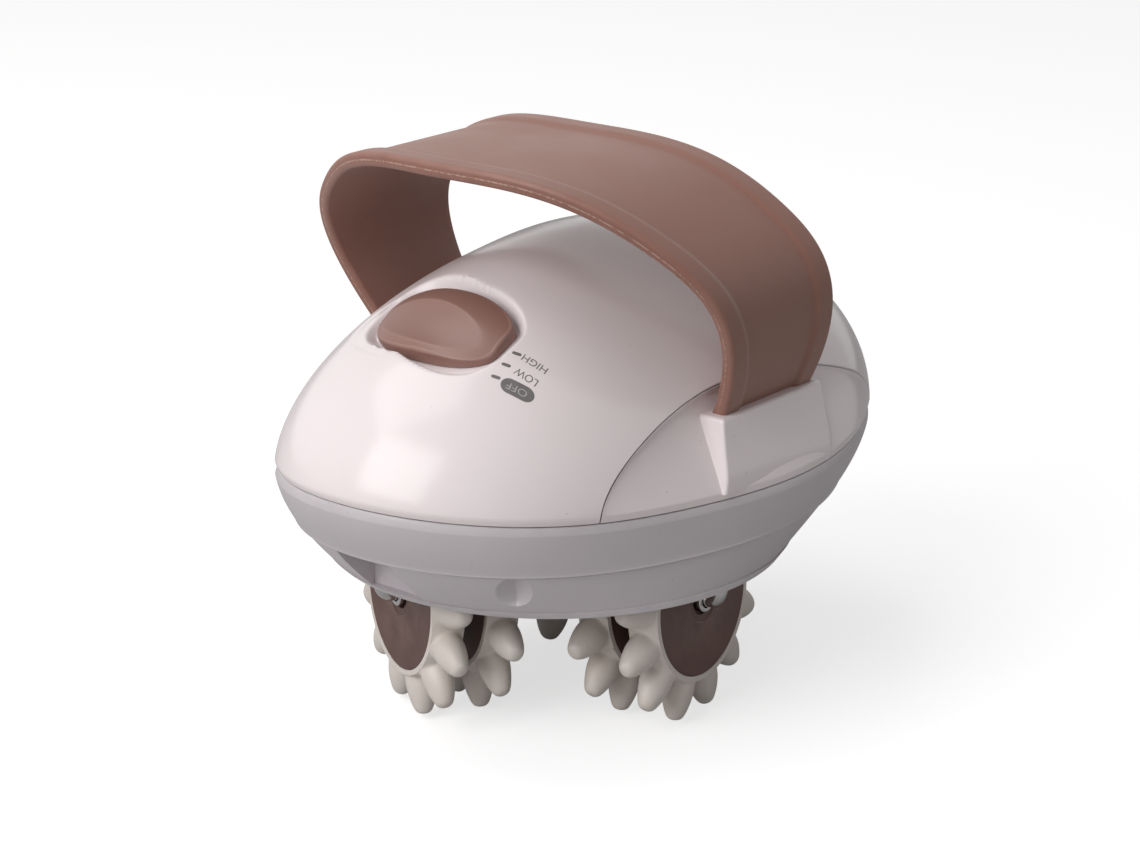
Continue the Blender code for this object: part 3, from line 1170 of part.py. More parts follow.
def build_rotor_core(carrier, rotor):
    """Shaft, bush, clip and the round plate whose bosses hold the rods' legs."""
    bush_bore = (SHAFT_RADIUS + GAP) / math.cos(math.pi / ROUND_SIDES)
    flange = CEILING_TOP + GAP
    bush = [(bush_bore, CEILING + GAP), (BUSH_RADIUS, CEILING + GAP), (BUSH_RADIUS, flange),
            (BUSH_FLANGE_RADIUS, flange), (BUSH_FLANGE_RADIUS, flange + BUSH_FLANGE),
            (bush_bore, flange + BUSH_FLANGE)]
    turned("rotor_bush", bush, ROUND_SIDES, BRONZE, carrier, bored=True)
    rod("rotor_shaft", SHAFT_RADIUS, (0, 0, SHAFT_FOOT), (0, 0, SHAFT_TOP), ROUND_SIDES, STEEL, rotor)
    clip_edge = clip_radius()
    clip_top = CLIP_LEVEL + CLIP_THICKNESS
    clip = [(bush_bore, CLIP_LEVEL), (clip_edge, CLIP_LEVEL), (clip_edge, clip_top), (bush_bore, clip_top)]
    turned("shaft_clip", clip, POST_SIDES, STEEL, rotor, bored=True)

    under = PLATE_UNDERSIDE
    profile = [(0, SHAFT_FOOT - GAP), (bush_bore, SHAFT_FOOT - GAP), (bush_bore, under + PLATE_THICKNESS),
               (PLATE_RADIUS, under + PLATE_THICKNESS), (PLATE_RADIUS, under - PLATE_RIM_DROP),
               (PLATE_RADIUS - PLATE_RIM, under - PLATE_RIM_DROP), (PLATE_RADIUS - PLATE_RIM, under),
               (PLATE_HUB_RADIUS, under), (PLATE_HUB_RADIUS, under - PLATE_HUB_DROP),
               (0, under - PLATE_HUB_DROP)]
    plate = turned("rotor_plate", profile, PLATE_COLUMNS, WHITE_SATIN, rotor)
    for arm in range(ARM_COUNT):
        angle = FIRST_ARM + 2 * math.pi * arm / ARM_COUNT
        for reach in (ROD_INNER_LEG, ROD_OUTER_LEG):
            place = ring_point(angle, reach, 0)
            boss = rod("boss", LEG_BOSS_RADIUS, (place.x, place.y, under - LEG_BOSS_DROP),
                       (place.x, place.y, under + PLATE_THICKNESS / 2), ROUND_SIDES)
            combine(plate, boss, "UNION")
            bore(plate, ROD_RADIUS, (place.x, place.y, under - LEG_BOSS_DROP - OVERRUN),
                 (place.x, place.y, under + PLATE_THICKNESS - LEG_BOSS_FLOOR), ROUND_SIDES)


def axle_height(reach):
    """Height of an axle's centre line at a distance from the rotor axis."""
    return AXLE_HEIGHT + reach * math.tan(AXLE_TILT)


def rod_path():
    """Centre line of a bent axle rod in the plane of its arm: up, out along the tilted axle, and up again."""
    leg_top = PLATE_UNDERSIDE + PLATE_THICKNESS - LEG_BOSS_FLOOR - GAP
    corners = [(ROD_INNER_LEG, leg_top), (ROD_INNER_LEG, axle_height(ROD_INNER_LEG)),
               (ROD_OUTER_LEG, axle_height(ROD_OUTER_LEG)), (ROD_OUTER_LEG, leg_top)]
    corners = [Vector((reach, height)) for reach, height in corners]
    path = [corners[0]]
    for before, corner, after in zip(corners, corners[1:], corners[2:]):
        back = (before - corner).normalized()
        ahead = (after - corner).normalized()
        start = corner + back * ROD_BEND
        end = corner + ahead * ROD_BEND
        for step in range(ROD_BEND_STEPS + 1):
            share = step / ROD_BEND_STEPS
            path.append(start.lerp(corner, share).lerp(corner.lerp(end, share), share))
    path.append(corners[-1])
    return path


def build_axle_rod(rotor, arm, angle):
    """Bent steel rod of one arm, round all the way."""
    path = rod_path()
    sections = []
    for index, place in enumerate(path):
        before = path[max(0, index - 1)]
        after = path[min(len(path) - 1, index + 1)]
        run = (after - before).normalized()
        across = Vector((-run.y, run.x))
        section = []
        for side in range(ROD_SIDES):
            turn = 2 * math.pi * side / ROD_SIDES
            in_plane = across * ROD_RADIUS * math.cos(turn)
            section.append(Vector((place.x + in_plane.x, ROD_RADIUS * math.sin(turn), place.y + in_plane.y)))
        sections.append(section)
    bar = loft("axle_rod_" + str(arm + 1), sections, STEEL, rotor)
    bar.data.transform(Matrix.Rotation(angle, 4, "Z"))


def wheel_hub(name, parent):
    """Brown hub: a tapered seat for the tyre, with a sunk hole for the washer in its flat face."""
    profile = [(HUB_BORE, -HUB_HOLE_DEPTH), (HUB_HOLE_RADIUS, -HUB_HOLE_DEPTH), (HUB_HOLE_RADIUS, 0),
               (HUB_RADIUS, 0), (HUB_RADIUS - HUB_SEAT_TAPER, -HUB_LENGTH), (HUB_BORE, -HUB_LENGTH)]
    return turned(name, profile, HUB_SIDES, BROWN_HUB, parent, bored=True, along_x=True)


def around_axle(place, radius, angle):
    """A point at a place along the axle and a radius about it, the angle counted from straight down."""
    return Vector((place, radius * math.sin(angle), -radius * math.cos(angle)))


def wheel_tyre(name, parent, phase):
    """Cream tyre: a ring on the hub's tapered seat, with a finger grown from every other face of its rim.

    The ring has two sections for each finger. The rim's front, middle and back points of both are the six
    corners of the finger's foot, so the foot is widest at the middle of the rim.
    """
    seat = HUB_RADIUS + GAP
    back_seat = seat - HUB_SEAT_TAPER * TYRE_WIDTH / HUB_LENGTH
    pitch = 2 * math.pi / FINGER_COUNT
    foot_half = FINGER_FOOT_RADIUS / TYRE_RADIUS
    edge_half = foot_half * FINGER_EDGE_SHARE
    profile = [(seat, 0, pitch / 4), (TYRE_FACE_RADIUS, 0, edge_half), (TYRE_RADIUS, -FINGER_BACK, foot_half),
               (TYRE_FACE_RADIUS, -TYRE_WIDTH, edge_half), (back_seat, -TYRE_WIDTH, pitch / 4)]
    front = 1
    count = len(profile)
    points = []
    for finger in range(FINGER_COUNT):
        middle = pitch * (finger + phase)
        for side in (-1, 1):
            points += [around_axle(place, radius, middle + side * half) for radius, place, half in profile]
    faces = grid_faces(2 * FINGER_COUNT, count, 0, wrap_rows=True, wrap_columns=True)
    foot_faces = [2 * finger * count + front + row for finger in range(FINGER_COUNT) for row in (0, 1)]
    faces = [face for index, face in enumerate(faces) if index not in foot_faces]

    for finger in range(FINGER_COUNT):
        turn = Matrix.Rotation(pitch * (finger + phase), 4, "X")
        near = 2 * finger * count + front
        foot = [near, near + 1, near + 2, near + count + 2, near + count + 1, near + count]
        sides = len(foot)
        start = len(points)
        for corner in range(sides):
            angle = math.pi * (2 * corner + 1) / sides
            place = Vector((-FINGER_BACK + FINGER_END_RADIUS * math.cos(angle),
                            -FINGER_END_RADIUS * math.sin(angle), FINGER_SHOULDER - FINGER_TIP))
            points.append(turn @ place)
        points.append(turn @ Vector((-FINGER_BACK, 0, -FINGER_TIP)))
        for corner in range(sides):
            after = (corner + 1) % sides
            faces.append([foot[corner], foot[after], start + after, start + corner])
            faces.append([start + corner, start + after, start + sides])
    return add_object(name, points, faces, CREAM_SILICONE, parent)


def collar(name, start, end, parent):
    """Washer or spacer round the axle between two places along it."""
    profile = [(HUB_BORE, start), (WASHER_RADIUS, start), (WASHER_RADIUS, end), (HUB_BORE, end)]
    return turned(name, profile, WASHER_SIDES, STEEL, parent, bored=True, along_x=True)


def build_arm(rotor, arm):
    """One arm: its rod, two wheels that turn on it, and the washers and spacer between them."""
    angle = FIRST_ARM + 2 * math.pi * arm / ARM_COUNT
    number = str(arm + 1)
    build_axle_rod(rotor, arm, angle)
    axle = add_empty("axle_" + number, (0, 0, AXLE_HEIGHT), rotor,
                     Matrix.Rotation(angle, 4, "Z") @ Matrix.Rotation(-AXLE_TILT, 4, "Y"))
    for face, place, shares in ((OUTER_FACE, "outer", OUTER_PHASE_SHARES),
                                (INNER_FACE, "inner", INNER_PHASE_SHARES)):
        wheel = add_empty("wheel_" + place + "_" + number, (face, 0, 0), axle)
        wheel_hub("hub_" + place + "_" + number, wheel)
        wheel_tyre("tyre_" + place + "_" + number, wheel, shares[arm])
    outer_seat = OUTER_FACE - HUB_HOLE_DEPTH + GAP
    collar("washer_outer_" + number, outer_seat, outer_seat + 2 * WASHER_THICKNESS, axle)
    collar("spacer_" + number, INNER_FACE - HUB_HOLE_DEPTH + GAP, OUTER_FACE - HUB_LENGTH - GAP, axle)
    inner_end = INNER_FACE - HUB_LENGTH - GAP
    collar("washer_inner_" + number, inner_end - WASHER_THICKNESS, inner_end, axle)


def build_roller():
    """Build the whole massage roller."""
    clear_scene()
    body = add_empty("body", (0, ROTOR_Y, 0))
    rotor = add_empty("rotor", (0, 0, 0), body)
    idler = add_empty("idler", (0, idler_y(), 0), body)
    motor = add_empty("motor", (0, motor_y(), 0), body)
    knob_pivot = add_empty("knob_pivot", (0, 0, 0), body, knob_frame())

    build_upper_shell(body)
    build_side_panel(body, -1, "side_panel_left")
    build_side_panel(body, 1, "side_panel_right")
    build_lower_shell(body)
    build_skirt_ring(body)
    build_strap(body)
    build_strap_pins(body)
    build_housing_screws(body)
    build_knob(knob_pivot)
    build_switch(body)
    build_circuit_board(body)
    build_cord_gland(body)
    build_gearbox_plate(body)
    build_motor(body)
    build_gear_train(body, rotor, idler, motor)
    build_rotor_core(body, rotor)
    for arm in range(ARM_COUNT):
        build_arm(rotor, arm)


build_roller()
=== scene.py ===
"""Electric massage roller, dressed: an egg-shaped white housing with a soft brown strap, a switch knob, and a
rotor of six finger wheels on bent steel rods. Each section is one piece, in the order of assembly.
"""

import bmesh
import bpy
import numpy as np
from mathutils import Matrix, Vector


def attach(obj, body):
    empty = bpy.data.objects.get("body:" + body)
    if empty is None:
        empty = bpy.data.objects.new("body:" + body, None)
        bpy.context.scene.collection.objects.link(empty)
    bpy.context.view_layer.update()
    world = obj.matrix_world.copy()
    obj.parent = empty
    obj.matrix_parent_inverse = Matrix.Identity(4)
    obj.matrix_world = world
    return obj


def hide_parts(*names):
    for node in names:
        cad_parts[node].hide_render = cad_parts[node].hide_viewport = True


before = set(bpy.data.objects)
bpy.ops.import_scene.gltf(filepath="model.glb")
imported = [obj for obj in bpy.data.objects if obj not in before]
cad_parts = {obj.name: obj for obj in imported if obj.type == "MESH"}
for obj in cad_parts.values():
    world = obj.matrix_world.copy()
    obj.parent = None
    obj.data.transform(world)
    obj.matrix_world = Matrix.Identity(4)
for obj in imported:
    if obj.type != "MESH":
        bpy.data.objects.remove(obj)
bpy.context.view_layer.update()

# The studio: a pale floor that keeps the shadow, and a camera to the right of the nose.
# The lamps are large panels, so the gloss shows them as soft patches.
mm = 0.001
degree = np.pi / 180
scene = bpy.context.scene
scene.view_settings.view_transform = "Standard"

camera_turn = 39.715 * degree
camera_rise = 18.447 * degree
camera_roll = -0.344 * degree
camera_reach = 660.68 * mm
camera_aim = np.array([3.263, -3.393, 65.409]) * mm
back = np.array([np.sin(camera_turn) * np.cos(camera_rise), -np.cos(camera_turn) * np.cos(camera_rise),
                 np.sin(camera_rise)])
level = np.array([np.cos(camera_turn), np.sin(camera_turn), 0])
upward = np.cross(back, level)
across = np.cos(camera_roll) * level + np.sin(camera_roll) * upward
upright = np.cos(camera_roll) * upward - np.sin(camera_roll) * level
camera_data = bpy.data.cameras.new("studio_camera")
camera_data.lens = 87.61
camera_data.sensor_width = 36
camera = bpy.data.objects.new("studio_camera", camera_data)
camera_columns = np.column_stack([across, upright, back, camera_aim + back * camera_reach])
camera.matrix_world = Matrix(np.vstack([camera_columns, [0, 0, 0, 1]]).tolist())
scene.collection.objects.link(camera)
scene.camera = camera


def add_node(tree, kind, inputs=None, **settings):
    """One shader node with its settings. Each named input gets a value, or a link where it is a socket."""
    made = tree.nodes.new("ShaderNode" + kind)
    for key, value in settings.items():
        setattr(made, key, value)
    for socket, value in (inputs or {}).items():
        if isinstance(value, bpy.types.NodeSocket):
            tree.links.new(value, made.inputs[socket])
        else:
            made.inputs[socket].default_value = value
    return made


def add_lamp(name, place, size, power, tint):
    """A square soft lamp at a place, turned to the middle of the roller."""
    data = bpy.data.lights.new(name, "AREA")
    data.size = size
    data.energy = power
    data.color = tint
    lamp = bpy.data.objects.new(name, data)
    lamp.location = place
    lamp.rotation_euler = (Vector(place) - Vector((0, 0, 0.07))).to_track_quat("Z", "Y").to_euler()
    scene.collection.objects.link(lamp)


add_lamp("key_panel", (-0.12, -1.3, 0.85), 1.1, 15.5, (1.0, 0.985, 0.985))
add_lamp("top_panel", (-0.45, -0.3, 1.3), 0.9, 5.5, (1.0, 0.985, 0.98))
add_lamp("fill_panel", (0.9, -1.3, 0.6), 0.8, 0.5, (0.98, 0.98, 1.0))

world = bpy.data.worlds.new("studio")
world.use_nodes = True
scene.world = world
world.node_tree.nodes.clear()
ray = add_node(world.node_tree, "LightPath")
seen = add_node(world.node_tree, "Math", {0: ray.outputs["Is Camera Ray"], 1: ray.outputs["Is Glossy Ray"]},
                operation="MAXIMUM")
seen = add_node(world.node_tree, "Math", {0: seen.outputs[0], 1: ray.outputs["Is Transmission Ray"]},
                operation="MAXIMUM")
strength = add_node(world.node_tree, "MapRange", {"Value": seen.outputs[0], "To Min": 0.28, "To Max": 1.0})
sky = add_node(world.node_tree, "Background", {"Color": (1, 1, 1, 1), "Strength": strength.outputs[0]})
add_node(world.node_tree, "OutputWorld", {"Surface": sky.outputs[0]})

floor_half = 4.0
floor_corners = [(x * floor_half, y * floor_half, 0) for x, y in ((-1, -1), (1, -1), (1, 1), (-1, 1))]
floor_mesh = bpy.data.meshes.new("studio_floor")
floor_mesh.from_pydata(floor_corners, [], [(0, 1, 2, 3)])
floor = bpy.data.objects.new("studio_floor", floor_mesh)
scene.collection.objects.link(floor)
paper = bpy.data.materials.new("studio_paper")
paper.use_nodes = True
tree = paper.node_tree
tree.nodes.clear()
ray = add_node(tree, "LightPath")
matte = add_node(tree, "BsdfDiffuse", {"Color": (0.55, 0.55, 0.55, 1)})
lift = add_node(tree, "Math", {0: ray.outputs["Is Camera Ray"], 1: 0.66}, operation="MULTIPLY")
glow = add_node(tree, "Emission", {"Color": (1, 1, 1, 1), "Strength": lift.outputs[0]})
both = add_node(tree, "AddShader", {0: matte.outputs[0], 1: glow.outputs[0]})
add_node(tree, "OutputMaterial", {"Surface": both.outputs[0]})
floor_mesh.materials.append(paper)

# Lower shell: a satin white bowl of moulded ABS from the seam groove down to the step line, in one piece with
# the round well that the rotor turns in. Its upper edge is bevelled, so the joint above it is a V groove.
rotor_y = -4.65 * mm
gap = 0.3 * mm
seam_radius = 69.5 * mm
bowl_power = 1.65
merge = 0.002 * mm
seam_height = 61.8 * mm
seam_chamfer = 0.8 * mm
seam_chamfer_height = 1.6 * mm
lip_radius = 55 * mm
lip_height = 38.4 * mm
step_share = 0.5
step_proud = 0.4 * mm
step_fade = 0.02
bowl_wall = 2.2 * mm
well_radius = 51.6 * mm
well_top_radius = 50.4 * mm
well_wall = 1.8 * mm
well_foot = 40.2 * mm
ceiling = 65 * mm
ceiling_wall = 2.2 * mm
bush_hole = 6.3 * mm


def seam_reach(angle):
    """Distance of the seam from the rotor axis: a circle, an oval, a longer tail and a slightly egg-like
    side."""
    return seam_radius + mm * (6.5 * np.sin(angle) - 10.5 * np.cos(2 * angle) + 2.1 * np.sin(3 * angle))


def seam_rise(y):
    """Height of the seam above its lowest stretch: a parabola along the body that rises at nose and tail."""
    share = y / (50 * mm)
    return mm * (0.9 * share + 2.9 * share ** 2)


def bowl(angle, climb, inset=0.0):
    """A point of the lower body. The climb goes from the round lip (0) to the seam (1), and the reach swells
    from the lip's circle to the seam's outline by 1 - (1 - climb)^bowl_power."""
    angle, climb, inset = np.broadcast_arrays(angle, climb, inset)
    swell = 1 - (1 - climb) ** bowl_power
    reach = lip_radius - inset + (seam_reach(angle) - lip_radius) * swell
    top = seam_height - gap / 2 + seam_rise(seam_reach(angle) * np.sin(angle))
    height = lip_height + (top - lip_height) * climb
    return np.stack([reach * np.cos(angle), reach * np.sin(angle) + rotor_y, height], -1)


def circle(angle, radius, height):
    """A point at a radius and a height about the rotor axis."""
    angle, radius, height = np.broadcast_arrays(angle, radius, height)
    return np.stack([radius * np.cos(angle), radius * np.sin(angle) + rotor_y, height], -1)


def grid_quads(rows, columns, round_rows, round_columns):
    """Corner numbers of the quads of a grid that is stored row by row and may close on itself."""
    number = np.arange(rows * columns).reshape(rows, columns)
    if round_rows:
        number = np.vstack([number, number[:1]])
    if round_columns:
        number = np.hstack([number, number[:, :1]])
    return np.stack([number[:-1, :-1], number[:-1, 1:], number[1:, 1:], number[1:, :-1]], -1).reshape(-1, 4)


def mesh_from_grids(name, grids, crease=38 * degree, marks=None):
    """One object from grids of points, each with whether its rows and its columns close on themselves. Rows
    that shrink to a point are merged there, and faces are turned outwards. Marks are values for each
    point."""
    corners, quads, start = [], [], 0
    for points, round_rows, round_columns in grids:
        rows, columns = points.shape[:2]
        quads.append(start + grid_quads(rows, columns, round_rows, round_columns))
        corners.append(points.reshape(-1, 3))
        start += rows * columns
    mesh = bpy.data.meshes.new(name)
    mesh.from_pydata(np.concatenate(corners).tolist(), [], np.concatenate(quads).tolist())
    for mark, values in (marks or {}).items():
        stored = mesh.attributes.new(mark, "FLOAT", "POINT")
        stored.data.foreach_set("value", values.astype(np.float32).ravel())
    work = bmesh.new()
    work.from_mesh(mesh)
    bmesh.ops.remove_doubles(work, verts=work.verts, dist=merge)
    bmesh.ops.dissolve_degenerate(work, edges=work.edges, dist=merge)
    bmesh.ops.recalc_face_normals(work, faces=work.faces)
    work.to_mesh(mesh)
    work.free()
    mesh.shade_smooth()
    mesh.set_sharp_from_angle(angle=crease)
    piece = bpy.data.objects.new(name, mesh)
    scene.collection.objects.link(piece)
    return piece


def round_edges(piece, width):
    """Round the crisp edges of a piece by a small radius."""
    step = piece.modifiers.new("round_edges", "BEVEL")
    step.width = width
    step.segments = 2
    step.limit_method = "ANGLE"
    step.angle_limit = 35 * degree


def stored_rows(items, key, columns, kind=float):
    """What a mesh stores under a key for its vertices or edges, one row for each."""
    values = np.empty(len(items) * columns, kind)
    items.foreach_get(key, values)
    return values.reshape(-1, columns)


def mark_rub(piece):
    """Store the attribute rub: how far each point stands out from its neighbours. It is the mean curvature
    over the edges at the point, times the radius of an edge that hands and cloths rub most."""
    mesh = piece.data
    radius = 0.8 * mm
    place = stored_rows(mesh.vertices, "co", 3)
    normal = stored_rows(mesh.vertices, "normal", 3, np.float32)
    ends = stored_rows(mesh.edges, "vertices", 2, np.int32)
    bend = np.zeros(len(place))
    number = np.zeros(len(place))
    for near, far in ((0, 1), (1, 0)):
        step = place[ends[:, far]] - place[ends[:, near]]
        length = np.maximum((step ** 2).sum(1), merge ** 2)
        np.add.at(bend, ends[:, near], -2 * (step * normal[ends[:, near]]).sum(1) / length)
        np.add.at(number, ends[:, near], 1)
    rub = np.clip(bend / np.maximum(number, 1) * radius, 0, 1)
    mesh.attributes.new("rub", "FLOAT", "POINT").data.foreach_set("value", rub.astype(np.float32))


def coat(piece, finish):
    """Mark the rubbed edges of a piece and give it its finish."""
    mark_rub(piece)
    piece.data.materials.append(finish)


def skin_group():
    """The look that all moulded pieces share: a slow drift of colour, tiny specks, paler rubbed edges,
    patches of more and less gloss, and a fine grain in the surface."""
    group = bpy.data.node_groups.new("moulded_skin", "ShaderNodeTree")
    for name in ("Colour", "Drift Colour", "Speck Colour", "Rub Colour"):
        group.interface.new_socket(name, in_out="INPUT", socket_type="NodeSocketColor")
    for name in ("Drift Scale", "Speck Share", "Rub Share", "Gloss Low", "Gloss High", "Grain Scale",
                 "Grain Depth"):
        group.interface.new_socket(name, in_out="INPUT", socket_type="NodeSocketFloat")
    for name, kind in (("Colour", "Color"), ("Roughness", "Float"), ("Normal", "Vector")):
        group.interface.new_socket(name, in_out="OUTPUT", socket_type="NodeSocket" + kind)
    given = group.nodes.new("NodeGroupInput").outputs
    place = add_node(group, "TexCoord").outputs["Object"]
    drift = add_node(group, "TexNoise", {"Vector": place, "Scale": given["Drift Scale"], "Detail": 4})
    drift = add_node(group, "MapRange", {"Value": drift.outputs[0], "From Min": 0.35, "From Max": 0.65})
    colour = add_node(group, "Mix", {0: drift.outputs[0], 6: given["Colour"], 7: given["Drift Colour"]},
                      data_type="RGBA")
    speck = add_node(group, "TexNoise", {"Vector": place, "Scale": 1400, "Detail": 1})
    speck = add_node(group, "MapRange", {"Value": speck.outputs[0], "From Min": 0.79, "From Max": 0.84})
    speck = add_node(group, "Math", {0: speck.outputs[0], 1: given["Speck Share"]}, operation="MULTIPLY")
    colour = add_node(group, "Mix", {0: speck.outputs[0], 6: colour.outputs[2], 7: given["Speck Colour"]},
                      data_type="RGBA")
    edge = add_node(group, "Attribute", attribute_name="rub")
    patch = add_node(group, "TexNoise", {"Vector": place, "Scale": 160, "Detail": 3})
    patch = add_node(group, "MapRange", {"Value": patch.outputs[0], "From Min": 0.35, "From Max": 0.6})
    edge = add_node(group, "Math", {0: edge.outputs["Fac"], 1: patch.outputs[0]}, operation="MULTIPLY")
    edge = add_node(group, "Math", {0: edge.outputs[0], 1: given["Rub Share"]}, operation="MULTIPLY")
    colour = add_node(group, "Mix", {0: edge.outputs[0], 6: colour.outputs[2], 7: given["Rub Colour"]},
                      data_type="RGBA")
    shine = add_node(group, "TexNoise", {"Vector": place, "Scale": 55, "Detail": 5})
    shine = add_node(group, "MapRange", {"Value": shine.outputs[0], "From Min": 0.3, "From Max": 0.7,
                                         "To Min": given["Gloss Low"], "To Max": given["Gloss High"]})
    grain = add_node(group, "TexNoise", {"Vector": place, "Scale": given["Grain Scale"], "Detail": 2})
    bump = add_node(group, "Bump", {"Height": grain.outputs[0], "Distance": given["Grain Depth"],
                                    "Strength": 1})
    taken = group.nodes.new("NodeGroupOutput").inputs
    group.links.new(colour.outputs[2], taken["Colour"])
    group.links.new(shine.outputs[0], taken["Roughness"])
    group.links.new(bump.outputs[0], taken["Normal"])
    return group


moulded_skin = skin_group()


def moulded(name, colour, drift, speck, rub, gloss, grain, shares=(1.0, 0.5), drift_scale=25.0, metal=0.0):
    """A finish with the moulded skin. The gloss is the lowest and highest roughness, the grain a scale and a
    depth, and the shares say how strongly specks and rubbed edges show."""
    made = bpy.data.materials.new(name)
    made.use_nodes = True
    tree = made.node_tree
    skin = tree.nodes.new("ShaderNodeGroup")
    skin.node_tree = moulded_skin
    values = {"Colour": (*colour, 1), "Drift Colour": (*drift, 1), "Speck Colour": (*speck, 1),
              "Rub Colour": (*rub, 1), "Drift Scale": drift_scale, "Speck Share": shares[0],
              "Rub Share": shares[1], "Gloss Low": gloss[0], "Gloss High": gloss[1], "Grain Scale": grain[0],
              "Grain Depth": grain[1]}
    for socket, value in values.items():
        skin.inputs[socket].default_value = value
    shader = tree.nodes["Principled BSDF"]
    shader.inputs["Metallic"].default_value = metal
    for output, socket in (("Colour", "Base Color"), ("Roughness", "Roughness"), ("Normal", "Normal")):
        tree.links.new(skin.outputs[output], shader.inputs[socket])
    return made


satin_white = moulded("satin_white", (0.56, 0.52, 0.54), (0.53, 0.495, 0.515), (0.25, 0.2, 0.18),
                      (0.66, 0.63, 0.64), (0.3, 0.4), (2600, 0.012 * mm))
around = np.linspace(0, 2 * np.pi, 288, endpoint=False)
chamfer_share = seam_chamfer_height / (seam_height - lip_height)
rise = np.linspace(step_share, 1 - chamfer_share, 40)
flare = step_proud * np.exp(-(rise - step_share) / step_fade)
step_level = bowl(around, step_share)[..., 2]
floor_level = step_level + bowl_wall
inner_inset = bowl_wall + seam_chamfer / 2
inner_corner = bowl(around, step_share, bowl_wall)
inner_corner[..., 2] = floor_level
well_outer = well_radius + well_wall
bowl_rows = [bowl(around, climb, -proud) for climb, proud in zip(rise, flare)]
bowl_rows += [bowl(around, 1.0, seam_chamfer), bowl(around, 1.0, inner_inset),
              bowl(around, (1 + step_share) / 2, inner_inset), inner_corner]
well_course = [(well_outer, floor_level), (well_top_radius + well_wall, ceiling),
               (well_top_radius, ceiling + ceiling_wall), (bush_hole, ceiling + ceiling_wall),
               (bush_hole, ceiling), (well_top_radius, ceiling), (well_radius, well_foot),
               (well_outer, well_foot), (well_outer, step_level)]
bowl_rows += [circle(around, radius, height) for radius, height in well_course]
lower_bowl = mesh_from_grids("lower_bowl", [(np.stack(bowl_rows), True, True)])
round_edges(lower_bowl, 0.25 * mm)
coat(lower_bowl, satin_white)
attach(lower_bowl, "housing")
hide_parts("lower_shell")

# Skirt ring: a second satin moulding that clips under the bowl. It ends in a thin lip, has a square notch
# under the nose, where a tool lifts it off, and four small pockets with an upright crease.
lip_band = 1.6 * mm
lip_proud = 0.4 * mm
pocket_height = 45.9 * mm
pocket_half_width = 4 * mm
pocket_half_height = 5.2 * mm
pocket_depth = 2.3 * mm
pocket_reach = 4.6 * degree
pocket_density = 5.0
pocket_angles = np.array([-121, -59, 59, 121]) * degree
notch_half = 8.2 * mm
notch_wall = 1.2 * mm
notch_foot = 40.2 * mm
notch_columns = 29
notch_y = -56 * mm
body_height = seam_height - lip_height


def soft_least(first, second, blend):
    """The smaller of two values, rounded over where they meet."""
    return second - blend * np.logaddexp(0, (second - first) / blend)


def skirt_angles(climb):
    """Angles of one row of the skirt: close together at the pockets, and under the nose at fixed distances
    from the middle, so the notch's side walls stand upright. Each wall has two columns, one for each of its
    edges."""
    beside = np.array([0.6, 1.4]) * mm + notch_half
    x = np.concatenate([-beside[::-1], np.linspace(-notch_half, notch_half, notch_columns), beside])
    x = np.insert(x, [3, len(x) - 3], [-notch_half, notch_half])
    nose = x / (60 * mm) - np.pi / 2
    for step in range(8):
        here = bowl(nose, climb, lip_proud)
        nose = np.arcsin(x / np.hypot(here[:, 0], here[:, 1] - rotor_y)) - np.pi / 2
    all_round = np.linspace(-78, 258, 2400) * degree
    spacing = np.ones(len(all_round))
    for angle in pocket_angles:
        apart = (all_round - angle + np.pi) % (2 * np.pi) - np.pi
        spacing[np.abs(apart) < pocket_reach] = pocket_density
    travel = np.cumsum(spacing) / spacing.sum()
    return np.concatenate([nose, np.interp(np.linspace(travel[0], 1, 500), travel, all_round)])


def unit(vector):
    """A vector of length one."""
    return vector / np.linalg.norm(vector)


def rounded(corner, before, after, radius, count):
    """A corner of a course, rounded by a quadratic curve that begins and ends at a radius from it:
    (1 - t)^2 start + 2 t (1 - t) corner + t^2 end."""
    share = np.linspace(0, 1, count)[:, None]
    start = corner + radius * unit(before - corner)
    end = corner + radius * unit(after - corner)
    return (1 - share) ** 2 * start + 2 * share * (1 - share) * corner + share ** 2 * end


def cut_pockets(points):
    """Press the pockets into outer points of the skirt. A pocket is an ellipse in outline and falls straight
    from its rim to an upright crease in its middle."""
    for angle in pocket_angles:
        climb = (pocket_height - lip_height) / body_height
        centre = bowl(angle, climb, lip_proud)
        level = unit(bowl(angle, climb + 0.02, lip_proud) - centre)
        side = np.array([-np.sin(angle), np.cos(angle), 0])
        inward = np.cross(level, side)
        a = np.abs((points - centre) @ side) / pocket_half_width
        b = (points - centre) @ level / pocket_half_height
        near = (points - centre) @ inward < 12 * mm
        depth = pocket_depth * np.maximum(np.sqrt(np.maximum(1 - b ** 2, 0)) - a, 0) * near
        points = points + depth[..., None] * inward
    return points


lip_share = lip_band / body_height
foot_share = (notch_foot - lip_height) / (body_height + seam_rise(notch_y))
top_share = step_share - gap / body_height
outer_rise = np.concatenate([[lip_share, foot_share], np.linspace(foot_share, top_share, 42)])
skirt_inner = well_outer + gap
outer_rows = np.stack([cut_pockets(bowl(skirt_angles(climb), climb, lip_proud)) for climb in outer_rise])
outer_rows[2:, 3:3 + notch_columns, 1] = rotor_y - skirt_inner - notch_wall
foot_round = skirt_angles(lip_share)
top_round = skirt_angles(outer_rise[-1])
skirt_rows = [circle(foot_round, lip_radius, lip_height), bowl(foot_round, lip_share), *outer_rows,
              circle(top_round, skirt_inner, outer_rows[-1][..., 2]),
              circle(foot_round, skirt_inner, lip_height)]
skirt = mesh_from_grids("clip_on_skirt", [(np.stack(skirt_rows), True, True)])
round_edges(skirt, 0.2 * mm)
coat(skirt, satin_white)
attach(skirt, "housing")
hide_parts("skirt_ring")

